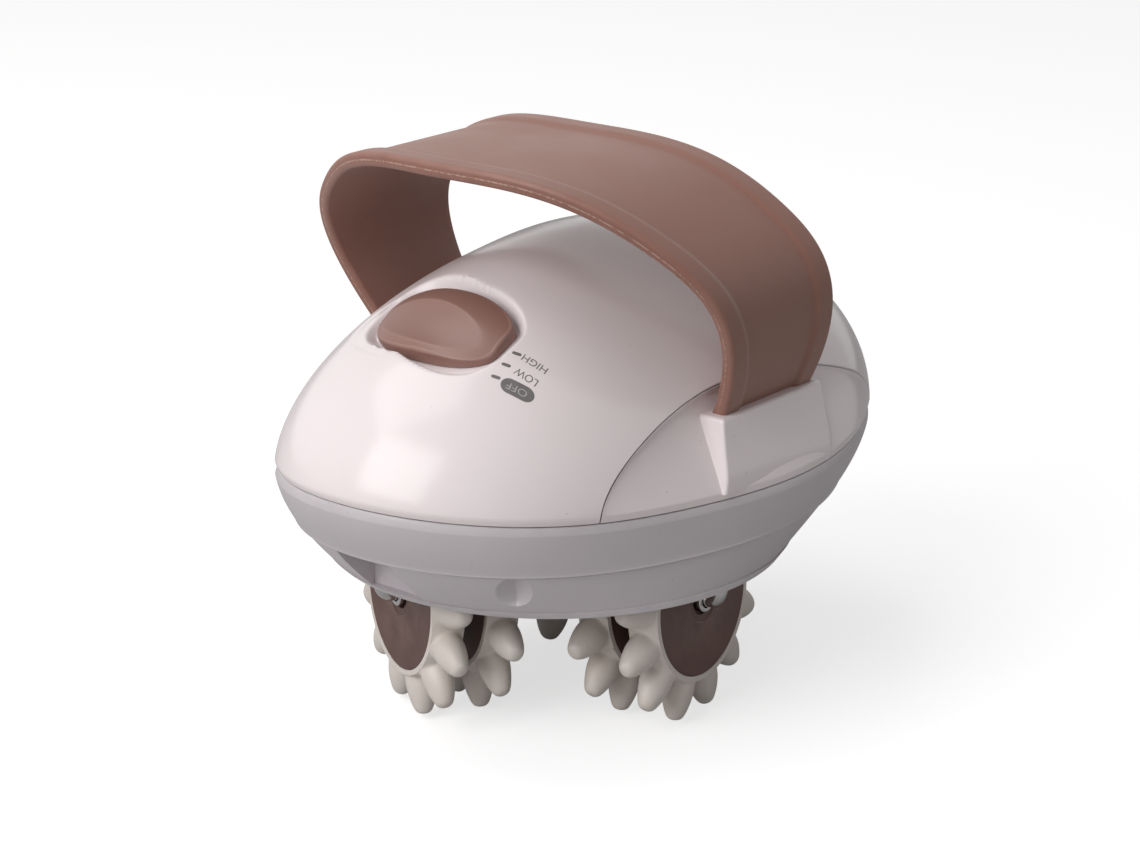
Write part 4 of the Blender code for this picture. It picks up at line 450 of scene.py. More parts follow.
# Upper shell: the glossy dome, moulded in pinkish white ABS and polished in the tool. It ends in a bevel at
# the seam and in an arch on each side for the panels. A flat oval seat is sunk into its nose for the knob.
dome_rise = 51 * mm
dome_wall = 2 * mm
dome_power = 1.7
crown_shift = 9.6 * mm
crown_power = 1.15
arch_middle = 3.3 * degree
arch_half = 44.6 * degree
arch_rise = 24 * mm
edge_roll = 0.3 * mm
knob_place = np.array([0, -37.4 * mm + rotor_y, 99.4 * mm])
knob_tilt = 23.6 * degree
knob_axes = np.array([[1, 0, 0], [0, np.cos(knob_tilt), np.sin(knob_tilt)],
                      [0, -np.sin(knob_tilt), np.cos(knob_tilt)]])
seat_half = np.array([18.8, 10.3]) * mm
seat_middle = np.array([-0.1, -1.6]) * mm
seat_pointer = 18 * mm
seat_depth = 2.6 * mm
seat_power = 2.5
seat_wall_rise = 20 * mm
seat_blend = 0.4 * mm
crescent_half = np.array([22, 13.5]) * mm
crescent_middle = np.array([-3.5, -3.4]) * mm
crescent_depth = 0.25 * mm
waist_middle = np.array([25, 84]) * mm
waist_half = np.array([24, 15]) * mm
waist_depth = 3.1 * mm


def seat_share(flat):
    """How far out points of the knob's plane lie, 1 on the seat's outline. The outline goes round all that
    the knob passes between its end positions: the least of its oval's norm over nine turns of 2.5 degrees."""
    shares = []
    for turned_by in np.linspace(0, 20, 9) * degree:
        x = flat[..., 0] * np.cos(turned_by) - flat[..., 1] * np.sin(turned_by)
        y = flat[..., 0] * np.sin(turned_by) + flat[..., 1] * np.cos(turned_by)
        oval = (np.abs(np.stack([x, y], -1) - seat_middle) / seat_half) ** seat_power
        shares.append(np.maximum(oval.sum(-1) ** (1 / seat_power), x / seat_pointer))
    return np.min(shares, axis=0)


def seat_cut(points, depth):
    """Sink the knob's seat: along the knob's axis no point stays above a flat floor at this depth, with a
    wall that leans a little and a soft rim. A larger, shallow oval step shows as a crescent on its left."""
    local = (points - knob_place) @ knob_axes.T
    floor_rise = np.maximum(seat_share(local[..., :2]) - 1, 0) * seat_wall_rise
    near = local[..., 2] > -30 * mm
    step = 1 - np.hypot(*np.moveaxis((local[..., :2] - crescent_middle) / crescent_half, -1, 0))
    fade = np.clip((-local[..., 0] - 2 * mm) / (14 * mm), 0, 1)
    local[..., 2] -= near * crescent_depth * fade * np.clip(step / 0.03, 0, 1)
    sunk = soft_least(local[..., 2], floor_rise - depth, seat_blend)
    local[..., 2] = np.where(near, sunk, local[..., 2])
    return local @ knob_axes + knob_place


def on_dome(flat, angle, share):
    """The angle and share at which the dome passes over places of the knob's plane, found in nine rounds: the
    miss is divided by the slopes along both, which are taken over a small step."""
    small = 1e-5
    for step in range(9):
        here = (dome(angle, share) @ knob_axes.T)[..., :2]
        by_angle = ((dome(angle + small, share) @ knob_axes.T)[..., :2] - here) / small
        by_share = ((dome(angle, share + small) @ knob_axes.T)[..., :2] - here) / small
        miss = flat - here + (knob_place @ knob_axes.T)[:2]
        area = by_angle[..., 0] * by_share[..., 1] - by_angle[..., 1] * by_share[..., 0]
        angle = angle + (miss[..., 0] * by_share[..., 1] - miss[..., 1] * by_share[..., 0]) / area
        share = share + (by_angle[..., 0] * miss[..., 1] - by_angle[..., 1] * miss[..., 0]) / area
    return angle, share


def gather_at_seat(angle, share):
    """Slide points of the dome's grid towards the seat's wall, so it gets many rows: a point at a distance d
    of the wall's middle, up to a width w, keeps w (d / w)^2.1."""
    middle, width = 1.06, 0.34
    local = (dome(angle, share) - knob_place) @ knob_axes.T
    out = seat_share(local[..., :2])
    chosen = (np.abs(out - middle) < width) & (local[..., 2] > -20 * mm)
    away = (out[chosen] - middle) / width
    grow = (middle + width * np.sign(away) * np.abs(away) ** 2.1) / out[chosen]
    flat = seat_middle + (local[chosen][:, :2] - seat_middle) * grow[:, None]
    angle = np.broadcast_to(angle, out.shape).copy()
    share = share.copy()
    angle[chosen], share[chosen] = on_dome(flat, angle[chosen], share[chosen])
    return angle, share


def dome(angle, share, inset=0.0):
    """A point of the dome: a superellipse over the seam, of dome_power across and 2 along the body. Its crown
    lies towards the tail, and each side is drawn in a little where the strap's foot passes."""
    angle, share, inset = np.broadcast_arrays(angle, share, inset)
    reach = seam_reach(angle) - inset
    across_share = np.maximum(1 - share ** dome_power, 0) ** (1 / dome_power)
    along_share = np.sqrt(np.maximum(1 - share ** 2, 0))
    x = reach * np.cos(angle) * across_share
    y = reach * np.sin(angle) * along_share + crown_shift * share ** crown_power
    rise = seam_rise(seam_reach(angle) * np.sin(angle) * along_share) * (1 - share)
    z = seam_height + gap / 2 + (dome_rise - inset) * share + rise
    away = ((y - waist_middle[0]) / waist_half[0]) ** 2 + ((z - waist_middle[1]) / waist_half[1]) ** 2
    x = x - np.sign(np.cos(angle)) * waist_depth * np.maximum(1 - away, 0) ** 2
    return np.stack([x, y + rotor_y, z], -1)


def edge_inset(share, start_share):
    """How far a point near an edge is drawn in: the bevel just over the seam, and a small round along an
    arch."""
    bevel = seam_chamfer * np.clip(1 - share * dome_rise / seam_chamfer_height, 0, 1)
    run = np.clip(np.abs(share - start_share) * dome_rise / edge_roll, 0, 1)
    return np.maximum(bevel, edge_roll * (1 - np.sqrt(1 - (1 - run) ** 2)) * (start_share > 0))


turn = np.linspace(0, np.pi, 97)
right_angle = arch_middle - arch_half * np.cos(turn)
arch_share = arch_rise / dome_rise * np.sin(turn)
arch_share[[0, -1]] = 0
left_angle = np.pi - right_angle[::-1]
tail_angle = np.linspace(right_angle[-1], left_angle[0], 62)[1:-1]
nose_ends = [left_angle[-1], -122 * degree + 2 * np.pi, -58 * degree + 2 * np.pi, right_angle[0] + 2 * np.pi]
nose_angle = np.interp(np.linspace(0, 1, 232), [0, 0.11, 0.89, 1], nose_ends)[1:-1]
dome_angle = np.concatenate([right_angle, tail_angle, left_angle, nose_angle])
dome_foot = np.concatenate([arch_share, 0 * tail_angle, arch_share[::-1], 0 * nose_angle])
near_edge = np.array([0, 0.02, 0.045, 0.08, 0.13, 0.2, 0.3]) * edge_roll / dome_rise * 5
climb_angle = np.pi / 2 * np.interp(np.linspace(0, 1, 150), [0, 0.2, 0.85, 1], [0, 0.33, 0.75, 1])[1:]
climb = np.sin(climb_angle) ** (2 / dome_power)
climb = np.concatenate([near_edge, climb[climb > near_edge[-1] * 1.5]])[:, None]
dome_share = dome_foot + (1 - dome_foot) * climb
seat_angle, seat_rows = gather_at_seat(dome_angle, dome_share)
outer = seat_cut(dome(seat_angle, seat_rows, edge_inset(dome_share, dome_foot)), seat_depth)
inner_share = dome_foot + (1 - dome_foot) * np.linspace(0, 1, 26)[:, None]
inner = seat_cut(dome(dome_angle, inner_share, dome_wall), seat_depth + dome_wall)
upper_dome = mesh_from_grids("upper_dome", [(np.concatenate([outer[::-1], inner]), False, True)])
gloss_white = moulded("gloss_white", (0.80, 0.725, 0.735), (0.785, 0.71, 0.715), (0.35, 0.28, 0.25),
                      (0.86, 0.81, 0.81), (0.16, 0.24), (900, 0.006 * mm))
coat(upper_dome, gloss_white)
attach(upper_dome, "housing")
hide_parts("upper_shell")

# Printed marks: grey ink that is pad-printed on the dome beside the knob's pointer, HIGH, LOW and OFF, each
# with a dash. They read from the hand's side, so they stand on their heads from the front. OFF is light on a
# grey pill.
ink_lift = 0.03 * mm


def over_dome(flat, lift):
    """Points that lie over places of the knob's plane, lifted off the dome along the knob's axis. The first
    guess for the angle and the share turns the dome's formula round at a point 3 mm below the plane."""
    guess = np.column_stack([flat, np.full(len(flat), -3 * mm)]) @ knob_axes + knob_place
    share = (guess[:, 2] - seam_height) / dome_rise
    along = (guess[:, 1] - rotor_y - crown_shift * share ** crown_power) / np.sqrt(1 - share ** 2)
    angle = np.arctan2(along, guess[:, 0] / (1 - share ** dome_power) ** (1 / dome_power))
    points = seat_cut(dome(*on_dome(flat, angle, share)), seat_depth)
    return points + lift * knob_axes[2]


def laid(flat, tilt, middle):
    """Flat points turned by a tilt and moved to their place on the knob's plane."""
    turning = np.array([[np.cos(tilt), np.sin(tilt)], [-np.sin(tilt), np.cos(tilt)]])
    return flat @ turning + np.array(middle)


def lettered(word, width, height, middle, tilt):
    """Corners and faces of a word, set to a width and a height, turned on its head and laid at its place."""
    curve = bpy.data.curves.new(word, "FONT")
    curve.body = word
    curve.resolution_u = 6
    holder = bpy.data.objects.new(word, curve)
    scene.collection.objects.link(holder)
    bpy.context.view_layer.update()
    made = bpy.data.meshes.new_from_object(holder.evaluated_get(bpy.context.evaluated_depsgraph_get()))
    bpy.data.objects.remove(holder)
    flat = stored_rows(made.vertices, "co", 3)[:, :2]
    low, high = flat.min(0), flat.max(0)
    flat = (flat - (low + high) / 2) / (high - low) * np.array([width, height])
    return laid(flat, np.pi + tilt, middle), [list(face.vertices) for face in made.polygons]


def stadium(length, width, middle, tilt):
    """Corners and faces of a bar with round ends, as rows from its outline in to its middle."""
    half_round, rows = 15, 7
    spin = (np.linspace(0, 1, half_round)[:, None] + np.array([-0.5, 0.5])).T.ravel() * np.pi
    ends = np.repeat([[length - width, 0], [width - length, 0]], half_round, 0) / 2
    outline = ends + np.stack([np.cos(spin), np.sin(spin)], -1) * width / 2
    straight = np.linspace(1, -1, 11)[1:-1, None] * [(length - width) / 2, 0]
    outline = np.concatenate([outline[:half_round], straight + [0, width / 2], outline[half_round:],
                              -straight - [0, width / 2]])
    points = np.linspace(1, 0.02, rows)[:, None, None] * outline
    count = len(outline)
    last_row = list(range((rows - 1) * count, rows * count))
    faces = grid_quads(rows, count, False, True).tolist() + [last_row]
    return laid(points.reshape(-1, 2), tilt, middle), faces


def print_on_dome(name, parts, lift, ink):
    """One printed piece from flat parts, laid on the dome."""
    corners, faces = [], []
    for flat, part_faces in parts:
        start = sum(len(part) for part in corners)
        corners.append(over_dome(flat, lift))
        faces += [[start + corner for corner in face] for face in part_faces]
    mesh = bpy.data.meshes.new(name)
    mesh.from_pydata(np.concatenate(corners).tolist(), [], faces)
    mesh.validate()
    piece = bpy.data.objects.new(name, mesh)
    scene.collection.objects.link(piece)
    work = bmesh.new()
    work.from_mesh(mesh)
    wrong = [face for face in work.faces if face.normal @ Vector(knob_axes[2]) < 0]
    bmesh.ops.reverse_faces(work, faces=wrong)
    work.to_mesh(mesh)
    work.free()
    piece.data.materials.append(ink)
    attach(piece, "housing")


grey_ink = moulded("grey_ink", (0.135, 0.125, 0.125), (0.16, 0.15, 0.15), (0.3, 0.28, 0.28),
                   (0.4, 0.37, 0.37), (0.42, 0.6), (3000, 0.006 * mm), (0.8, 0.3), 400.0)
light_ink = moulded("light_ink", (0.42, 0.41, 0.41), (0.36, 0.35, 0.35), (0.2, 0.19, 0.19), (0.6, 0.58, 0.58),
                    (0.42, 0.6), (3000, 0.006 * mm), (0.8, 0.3), 400.0)
dash = 0.85 * mm
marks = [stadium(2 * mm, dash, (21.75 * mm, -2.6 * mm), 19 * degree),
         stadium(2 * mm, dash, (21.75 * mm, -6.6 * mm), 18 * degree),
         stadium(2 * mm, dash, (21.8 * mm, -10.6 * mm), 18 * degree),
         stadium(7 * mm, 3.7 * mm, (26.7 * mm, -10.2 * mm), 12 * degree),
         lettered("HIGH", 5.4 * mm, 1.85 * mm, (25.8 * mm, -2.2 * mm), 5 * degree),
         lettered("LOW", 4.9 * mm, 1.95 * mm, (26.3 * mm, -6.25 * mm), 4 * degree)]
print_on_dome("printed_marks", marks, ink_lift, grey_ink)
print_on_dome("printed_off", [lettered("OFF", 4.3 * mm, 1.7 * mm, (26.6 * mm, -10.3 * mm), 12 * degree)],
              2 * ink_lift, light_ink)

# Side panels: two covers of the same glossy ABS that snap into the arches of the dome. Each carries the
# raised socket that a foot of the strap goes into, a block with a flat top and a sloping outer wall.
panel_draw = 4 * mm
socket_top = 79.8 * mm
socket_reach = 54.2 * mm
socket_inside = 44 * mm
socket_front = np.array([-9.2, -6.4]) * mm
socket_rear = np.array([27, 32]) * mm
socket_radius = 0.9 * mm
socket_bulge = 6.4 * mm


def panel(side, climb, inset):
    """A point of a side panel between the seam and its arch. It lies inside the dome's curve by a draw that
    is zero along its border and greatest at two thirds of its height, where 2.598 climb sqrt(1 - climb) is
    one."""
    half = arch_half - gap / seam_radius
    angle = arch_middle - half * np.cos(turn)
    top = (arch_rise - gap) / dome_rise * np.sin(turn)
    top[[0, -1]] = 0
    share = top * climb
    spread = 1 - ((angle - arch_middle) / half) ** 2
    draw = panel_draw * 2.598 * climb * np.sqrt(np.maximum(1 - climb, 0)) * spread
    roll = np.where(inset > 0, inset, edge_inset(share, top))
    points = dome(angle, share, roll)
    points[..., 0] = side * (points[..., 0] - draw)
    return points


def socket_loop(side, height, grow=0.0):
    """A rounded four-cornered loop round a socket at one height. Its outer wall leans from the seam to the
    top and bulges a little near its foot, and grow moves the whole loop outwards."""
    foot_y = np.array([socket_front[0], socket_rear[0]])
    foot_z = seam_height + seam_rise(foot_y) + 1.2 * mm
    foot_angle = np.arcsin(foot_y / seam_radius)
    foot_x = np.sqrt(seam_reach(foot_angle) ** 2 - foot_y ** 2)
    share = (height - foot_z) / (socket_top - foot_z)
    reach = foot_x + (socket_reach - foot_x) * share + socket_bulge * share * (1 - share) ** 3 + grow
    y = foot_y + (np.array([socket_front[1], socket_rear[1]]) - foot_y) * share + np.array([-grow, grow])
    corners = np.array([[socket_inside, y[0]], [reach[0], y[0]], [reach[1], y[1]], [socket_inside, y[1]]])
    radius = max(socket_radius + grow, 0.15 * mm)
    neighbours = zip(corners, np.roll(corners, 1, 0), np.roll(corners, -1, 0))
    loop = np.concatenate([rounded(corner, before, after, radius, 8) for corner, before, after in neighbours])
    return np.column_stack([side * loop[:, 0], loop[:, 1] + rotor_y, np.full(len(loop), height)])


panel_climb = np.concatenate([np.linspace(0, 0.2, 14)[:-1], np.linspace(0.2, 0.9, 44)[:-1],
                              1 - 0.1 * np.linspace(1, 0, 24) ** 2])
for side, side_name in ((1, "right"), (-1, "left")):
    rows = [panel(side, climb, 0.0) for climb in panel_climb]
    rows += [panel(side, climb, dome_wall) for climb in np.linspace(1, 0, 14)]
    levels = np.linspace(seam_height + 1.4 * mm, socket_top - socket_radius, 12)
    loops = [socket_loop(side, height) for height in levels]
    for angle in np.linspace(0, 90, 6)[1:] * degree:
        loops.append(socket_loop(side, socket_top - socket_radius * (1 - np.sin(angle)),
                                 -socket_radius * (1 - np.cos(angle))))
    loops = np.stack(loops)
    middle = np.broadcast_to(loops[-1].mean(0), loops[-1].shape)
    foot_middle = np.broadcast_to(loops[0].mean(0), loops[0].shape)
    loops = np.concatenate([[foot_middle], loops, [middle]])
    cover = mesh_from_grids("panel_cover_" + side_name, [(np.stack(rows), True, False), (loops, False, True)])
    coat(cover, gloss_white)
    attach(cover, "housing")
    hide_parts("side_panel_" + side_name)

# Hand strap: one moulding of soft brown rubber with a raised border along each edge. Its feet sit in the
# sockets, and the mould's parting line runs along both of its edges as a fine ridge, with a broken painted
# highlight laid along it in pale colour.
strap_posts = np.array([[-52.3, 79.1], [-67.3, 105.3], [-49.5, 126.3], [-27, 136.9], [0, 136.9], [27, 136.9],
                        [49.5, 126.3], [67.3, 105.3], [52.3, 79.1]]) * mm
strap_thickness = 3.5 * mm
strap_border = 6.5 * mm
border_proud = 0.85 * mm
strap_round = 1.1 * mm
flash_proud = 0.07 * mm
flash_depth = 1.9 * mm
flash_width = 0.12 * mm
tab_depth = 7 * mm


def spline_weights(share, count, power=3):
    """Weights of a clamped B-spline's control points at each share of its course. They start as one on each
    point's own span, and each level blends the weights of two neighbours over one span more."""
    spans = count - power
    knots = np.concatenate([np.zeros(power), np.linspace(0, 1, spans + 1), np.ones(power)])
    share = np.clip(share, 0, 1 - 1e-9)[:, None]
    weights = ((share >= knots[:-1]) & (share < knots[1:])).astype(float)
    for level in range(1, power + 1):
        low, high = knots[:-level - 1], knots[level:-1]
        near, far = knots[1:-level], knots[level + 1:]
        first = np.where(high > low, (share - low) / np.where(high > low, high - low, 1), 0) * weights[:, :-1]
        second = np.where(far > near, (far - share) / np.where(far > near, far - near, 1), 0) * weights[:, 1:]
        weights = first + second
    return weights


def strap_outline(half):
    """Half of the strap's closed section, from the middle of its outer face round the edge to the middle of
    its inner face, as distance across and depth: a raised border, a round and a flat back. The third row says
    how near each point lies to the mould's parting line, which stands out a little."""
    face = np.linspace(0, 1, 34)
    span = half - strap_round
    top_across = span * face
    border = 1 / (1 + np.exp(-(top_across - (half - strap_border)) / (0.3 * mm)))
    top_depth = -border_proud * (1 - border)
    turn = np.linspace(0, np.pi / 2, 8)[1:]
    first_across = half - strap_round * (1 - np.sin(turn))
    first_depth = -strap_round * (1 - np.cos(turn))
    wall = np.linspace(-strap_round, strap_round - strap_thickness, 10)[1:-1]
    parting = np.exp(-((wall + flash_depth) / flash_width) ** 2)
    wall_across = half + flash_proud * parting
    last_across = half - strap_round * (1 - np.cos(turn))
    last_depth = strap_round - strap_thickness - strap_round * np.sin(turn)
    back_across = span * np.linspace(1, 0, 12)[1:]
    back_depth = np.full(len(back_across), -strap_thickness)
    return (np.concatenate([top_across, first_across, wall_across, last_across, back_across]),
            np.concatenate([top_depth, first_depth, wall, last_depth, back_depth]),
            np.concatenate([0 * top_depth, 0 * first_depth, parting, 0 * last_depth, 0 * back_depth]))


course = np.linspace(0, 1, 181)
line = spline_weights(course, len(strap_posts)) @ strap_posts
run = np.gradient(line, axis=0)
run /= np.linalg.norm(run, axis=1)[:, None]
normal = np.column_stack([-run[:, 1], run[:, 0]])
foot_share = (2 * course - 1) ** 2
# In mm: the strap is 54.7 wide at its crown and 34.2 at its feet, and the crown lies 26.4 nearer the nose.
strap_half = (54.7 - 10.1 * foot_share - 10.4 * foot_share ** 2) * mm / 2
strap_middle = (13.1 - 26.4 * (1 - foot_share)) * mm + rotor_y
stations = []
for station in range(len(course)):
    across_half, depth_half, parting_half = strap_outline(strap_half[station])
    away = np.concatenate([across_half, -across_half[-2:0:-1]])
    depth = np.concatenate([depth_half, depth_half[-2:0:-1]])
    x, z = (line[station] + normal[station] * depth[:, None]).T
    stations.append(np.column_stack([x, strap_middle[station] + away, z]))
stations = np.stack(stations)
for end, inner_way in ((0, 1), (-1, -1)):
    down = np.array([-run[end, 0], 0, -run[end, 1]]) * inner_way
    tab = stations[end] + down * tab_depth
    centre = tab.mean(0)
    tail = np.stack([tab, np.broadcast_to(centre, tab.shape)])
    stations = np.concatenate([tail[::-1], stations]) if end == 0 else np.concatenate([stations, tail])
parting_line = np.concatenate([parting_half, parting_half[-2:0:-1]])
strap = mesh_from_grids("hand_strap", [(stations, False, True)], 60 * degree,
                        {"flash_line": np.broadcast_to(parting_line, stations.shape[:2])})
brown_rubber = moulded("brown_rubber", (0.225, 0.096, 0.068), (0.245, 0.108, 0.078), (0.1, 0.04, 0.026),
                       (0.36, 0.2, 0.16), (0.46, 0.58), (2200, 0.03 * mm), (0.8, 0.55), 14.0)
brown_shader = brown_rubber.node_tree.nodes["Principled BSDF"]
brown_shader.inputs["Sheen Weight"].default_value = 0.16
brown_shader.inputs["Sheen Roughness"].default_value = 0.6
brown_shader.inputs["Sheen Tint"].default_value = (1.0, 0.86, 0.8, 1)
tree = brown_rubber.node_tree
place = add_node(tree, "TexCoord").outputs["Object"]
# Painted highlight: pale broken dots along the parting line's ridge, mixed into the rubber's base colour.
highlight_dots = add_node(tree, "TexNoise", {"Vector": place, "Scale": 1100, "Detail": 0})
highlight_dots = add_node(tree, "MapRange", {"Value": highlight_dots.outputs[0], "From Min": 0.47, "From Max": 0.56,
                                   "To Min": 0.1, "To Max": 0.85})
highlight_line_mask = add_node(tree, "Attribute", attribute_name="flash_line")
highlight_line_mask = add_node(tree, "Math", {0: highlight_line_mask.outputs["Fac"], 1: highlight_dots.outputs[0]}, operation="MULTIPLY")
plain_colour = brown_shader.inputs["Base Color"].links[0].from_socket
# The pale colour here is a painted highlight on the parting line, not a colour of the rubber.
painted_highlight_line = add_node(tree, "Mix", {0: highlight_line_mask.outputs[0], 6: plain_colour, 7: (0.5, 0.36, 0.3, 1)},
                     data_type="RGBA")
tree.links.new(painted_highlight_line.outputs[2], brown_shader.inputs["Base Color"])
coat(strap, brown_rubber)
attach(strap, "housing")
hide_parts("handle_strap")

# Switch knob: an oval cap of brown plastic with a finger scoop, pushed onto the switch's stem. One end is cut
# straight and points at the marks.
knob_half = np.array([18.3, 9.8]) * mm
knob_middle = np.array([-0.1, -1.6]) * mm
knob_power = 2.5
knob_pointer = 17.4 * mm
knob_round = 0.8 * mm
knob_base = -2.3 * mm
knob_crown = 4.6 * mm
crown_y = 1.4 * mm
crown_curve = np.array([0.0150, 0.0227]) / mm
scoop_middle = np.array([-2.5, -3.5]) * mm
scoop_half = np.array([16, 5.8]) * mm
scoop_turn = -5.5 * degree
scoop_depth = 1.5 * mm
scoop_blend = 0.07 * mm


def crown(flat):
    """Height of the knob's top over its plane: a paraboloid whose highest point lies behind the middle, with
    an oval hollow for the finger, 1 - hollow deep in proportion and rounded over at its rim."""
    x, y = flat[..., 0], flat[..., 1]
    across_hollow = ((x - scoop_middle[0]) * np.cos(scoop_turn) + (y - scoop_middle[1]) * np.sin(scoop_turn))
    up_hollow = ((y - scoop_middle[1]) * np.cos(scoop_turn) - (x - scoop_middle[0]) * np.sin(scoop_turn))
    hollow = (across_hollow / scoop_half[0]) ** 2 + (up_hollow / scoop_half[1]) ** 2
    press = scoop_blend * np.logaddexp(0, scoop_depth * (1 - hollow) / scoop_blend)
    return knob_crown - crown_curve[0] * x ** 2 - crown_curve[1] * (y - crown_y) ** 2 - press


def knob_surface():
    """The cap as rows of an oval: up its side, over a round edge and in over the crown to the middle."""
    spin = np.linspace(0, 2 * np.pi, 240, endpoint=False)
    corner = np.linspace(0, np.pi / 2, 9)
    oval = np.stack([np.cos(spin), np.sin(spin)], -1)
    oval = oval / ((np.abs(oval) / knob_half) ** knob_power).sum(1)[:, None] ** (1 / knob_power)
    oval[:, 0] = soft_least(oval[:, 0], knob_pointer, 0.25 * mm)
    away = np.linalg.norm(oval, axis=1)[:, None]
    inner_edge = oval * (1 - knob_round / away) + knob_middle
    top = crown(inner_edge)
    rows = [np.column_stack([oval + knob_middle, np.full(len(spin), knob_base)])]
    for roll in corner:
        flat = oval * (1 - knob_round * (1 - np.cos(roll)) / away) + knob_middle
        rows.append(np.column_stack([flat, top - knob_round * (1 - np.sin(roll))]))
    for part in np.linspace(1, 0, 84)[1:]:
        flat = (inner_edge - knob_middle) * part + knob_middle
        rows.append(np.column_stack([flat, crown(flat)]))
    rows = np.stack(rows)
    rows = np.concatenate([rows[:1] * np.array([0, 0, 1]) + np.array([*knob_middle, 0]), rows])
    return rows @ knob_axes + knob_place


knob_cap = mesh_from_grids("knob_cap", [(knob_surface(), False, True)])
brown_plastic = moulded("brown_plastic", (0.24, 0.128, 0.103), (0.25, 0.135, 0.11), (0.13, 0.055, 0.04),
                        (0.38, 0.23, 0.19), (0.34, 0.44), (2600, 0.012 * mm), (0.5, 0.5))
coat(knob_cap, brown_plastic)
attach(knob_cap, "switch_knob")
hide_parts("knob")

# Strap pins and screws: turned steel. The pins are pressed through the strap's tabs inside the sockets, and
# four long screws from below hold the shells together.
plain_steel = moulded("plain_steel", (0.5, 0.5, 0.5), (0.44, 0.44, 0.43), (0.2, 0.18, 0.16), (0.7, 0.7, 0.7),
                      (0.25, 0.4), (1500, 0.004 * mm), (0.6, 0.3), 60.0, 1.0)


def dress(finish, slot, *nodes):
    """Give CAD pieces that are carried over as they are a finish of their own."""
    for node in nodes:
        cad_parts[node].data.materials.clear()
        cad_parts[node].data.materials.append(finish)


dress(plain_steel, "steel", "strap_pin_left_front", "strap_pin_left_rear", "strap_pin_right_front",
      "strap_pin_right_rear", "housing_screw_1", "housing_screw_2", "housing_screw_3", "housing_screw_4")

# Switch and circuit board: a black rotary switch under the knob, turned by the knob's nylon stem, and a board
# of green lacquered glass fibre on two posts.
nylon = moulded("natural_nylon", (0.74, 0.71, 0.61), (0.7, 0.66, 0.55), (0.5, 0.45, 0.35), (0.8, 0.78, 0.7),
                (0.35, 0.5), (1200, 0.015 * mm), (0.5, 0.3), 60.0)
black_moulding = moulded("black_moulding", (0.04, 0.04, 0.043), (0.05, 0.05, 0.053), (0.12, 0.12, 0.12),
                         (0.12, 0.12, 0.12), (0.4, 0.55), (1600, 0.02 * mm), (0.7, 0.5), 40.0)
green_board = moulded("green_board", (0.03, 0.15, 0.06), (0.035, 0.19, 0.08), (0.4, 0.38, 0.3),
                      (0.25, 0.35, 0.15), (0.25, 0.4), (900, 0.02 * mm), (1.0, 0.4), 220.0)
dress(nylon, "nylon", "knob_stem")
dress(black_moulding, "dark_plastic", "rotary_switch")
dress(green_board, "board", "circuit_board")

# Gland of the mains lead: a black rubber grommet pressed into the tail of the bowl, with a round flange
# outside and a bore for the lead.
gland_climb = 0.681
gland_droop = 35 * degree
gland_profile = [(2.2, -8.4), (4, -8.4), (4, 0.6), (5.6, 0.6), (5.6, 1.6), (5.5, 1.9), (5.2, 2.12),
                 (4.8, 2.2), (3.1, 2.2), (2.75, 2.1), (2.4, 1.8), (2.2, 1.3)]


def turned(profile, sides=96):
    """Rows of a turned piece about the upright axis, from its (radius, height) points."""
    spin = np.linspace(0, 2 * np.pi, sides, endpoint=False)
    profile = np.array(profile)
    radius, height = profile[:, :1], profile[:, 1:]
    return np.stack([radius * np.cos(spin), radius * np.sin(spin), height + 0 * spin], -1)


gland_rows = turned(np.array(gland_profile) * mm, 64)
gland_y = np.array([0, -np.sin(gland_droop), -np.cos(gland_droop)])
gland_z = np.array([0, np.cos(gland_droop), -np.sin(gland_droop)])
gland_rows = (gland_rows[..., :1] * [1, 0, 0] + gland_rows[..., 1:2] * gland_y + gland_rows[..., 2:] * gland_z
              + bowl(90 * degree, gland_climb))
gland = mesh_from_grids("lead_gland", [(gland_rows, True, True)])
black_rubber = moulded("black_rubber", (0.035, 0.035, 0.037), (0.045, 0.045, 0.047), (0.12, 0.12, 0.12),
                       (0.1, 0.1, 0.1), (0.55, 0.7), (1800, 0.03 * mm), (0.7, 0.6), 60.0)
coat(gland, black_rubber)
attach(gland, "housing")
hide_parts("cord_gland")

# Motor and gear train: a steel motor can on a black plate, a bronze pinion, an idler of natural nylon on a
# fixed pin, and the output gear on the rotor's shaft. Three screws hold the plate on its pillars.
bronze = moulded("sintered_bronze", (0.42, 0.27, 0.12), (0.36, 0.22, 0.09), (0.15, 0.08, 0.03),
                 (0.6, 0.42, 0.22), (0.3, 0.5), (1200, 0.02 * mm), (0.8, 0.4), 90.0, 1.0)
dress(plain_steel, "steel", "motor_can", "motor_shaft", "idler_pin", "gearbox_screw_1", "gearbox_screw_2",
      "gearbox_screw_3", "rotor_shaft", "shaft_clip")
dress(black_moulding, "dark_plastic", "gearbox_plate")
dress(nylon, "nylon", "idler_gear", "output_gear")
dress(bronze, "bronze", "motor_pinion", "rotor_bush")

# Rotor: a white plate on the shaft whose bosses hold three bent rods of chromed steel. The rods are round
# bar, bent up just outside the outer wheel and again near the middle.
axle_height = 28.42 * mm
axle_tilt = 2.87 * degree
arm_angles = np.array([5.6, 125.6, 245.6]) * degree
plate_under = 61.4 * mm
plate_thickness = 2.6 * mm
plate_radius = 49.7 * mm
rod_radius = 2 * mm
rod_bend = 3.4 * mm
rod_legs = np.array([13, 45.9]) * mm
leg_top = plate_under + plate_thickness - 1.1 * mm


def placed(points, angle, height=0.0):
    """Points of an arm drawn along X, turned to its place round the rotor axis."""
    x = points[..., 0] * np.cos(angle) - points[..., 1] * np.sin(angle)
    y = points[..., 0] * np.sin(angle) + points[..., 1] * np.cos(angle) + rotor_y
    return np.stack([x, y, points[..., 2] + height], -1)


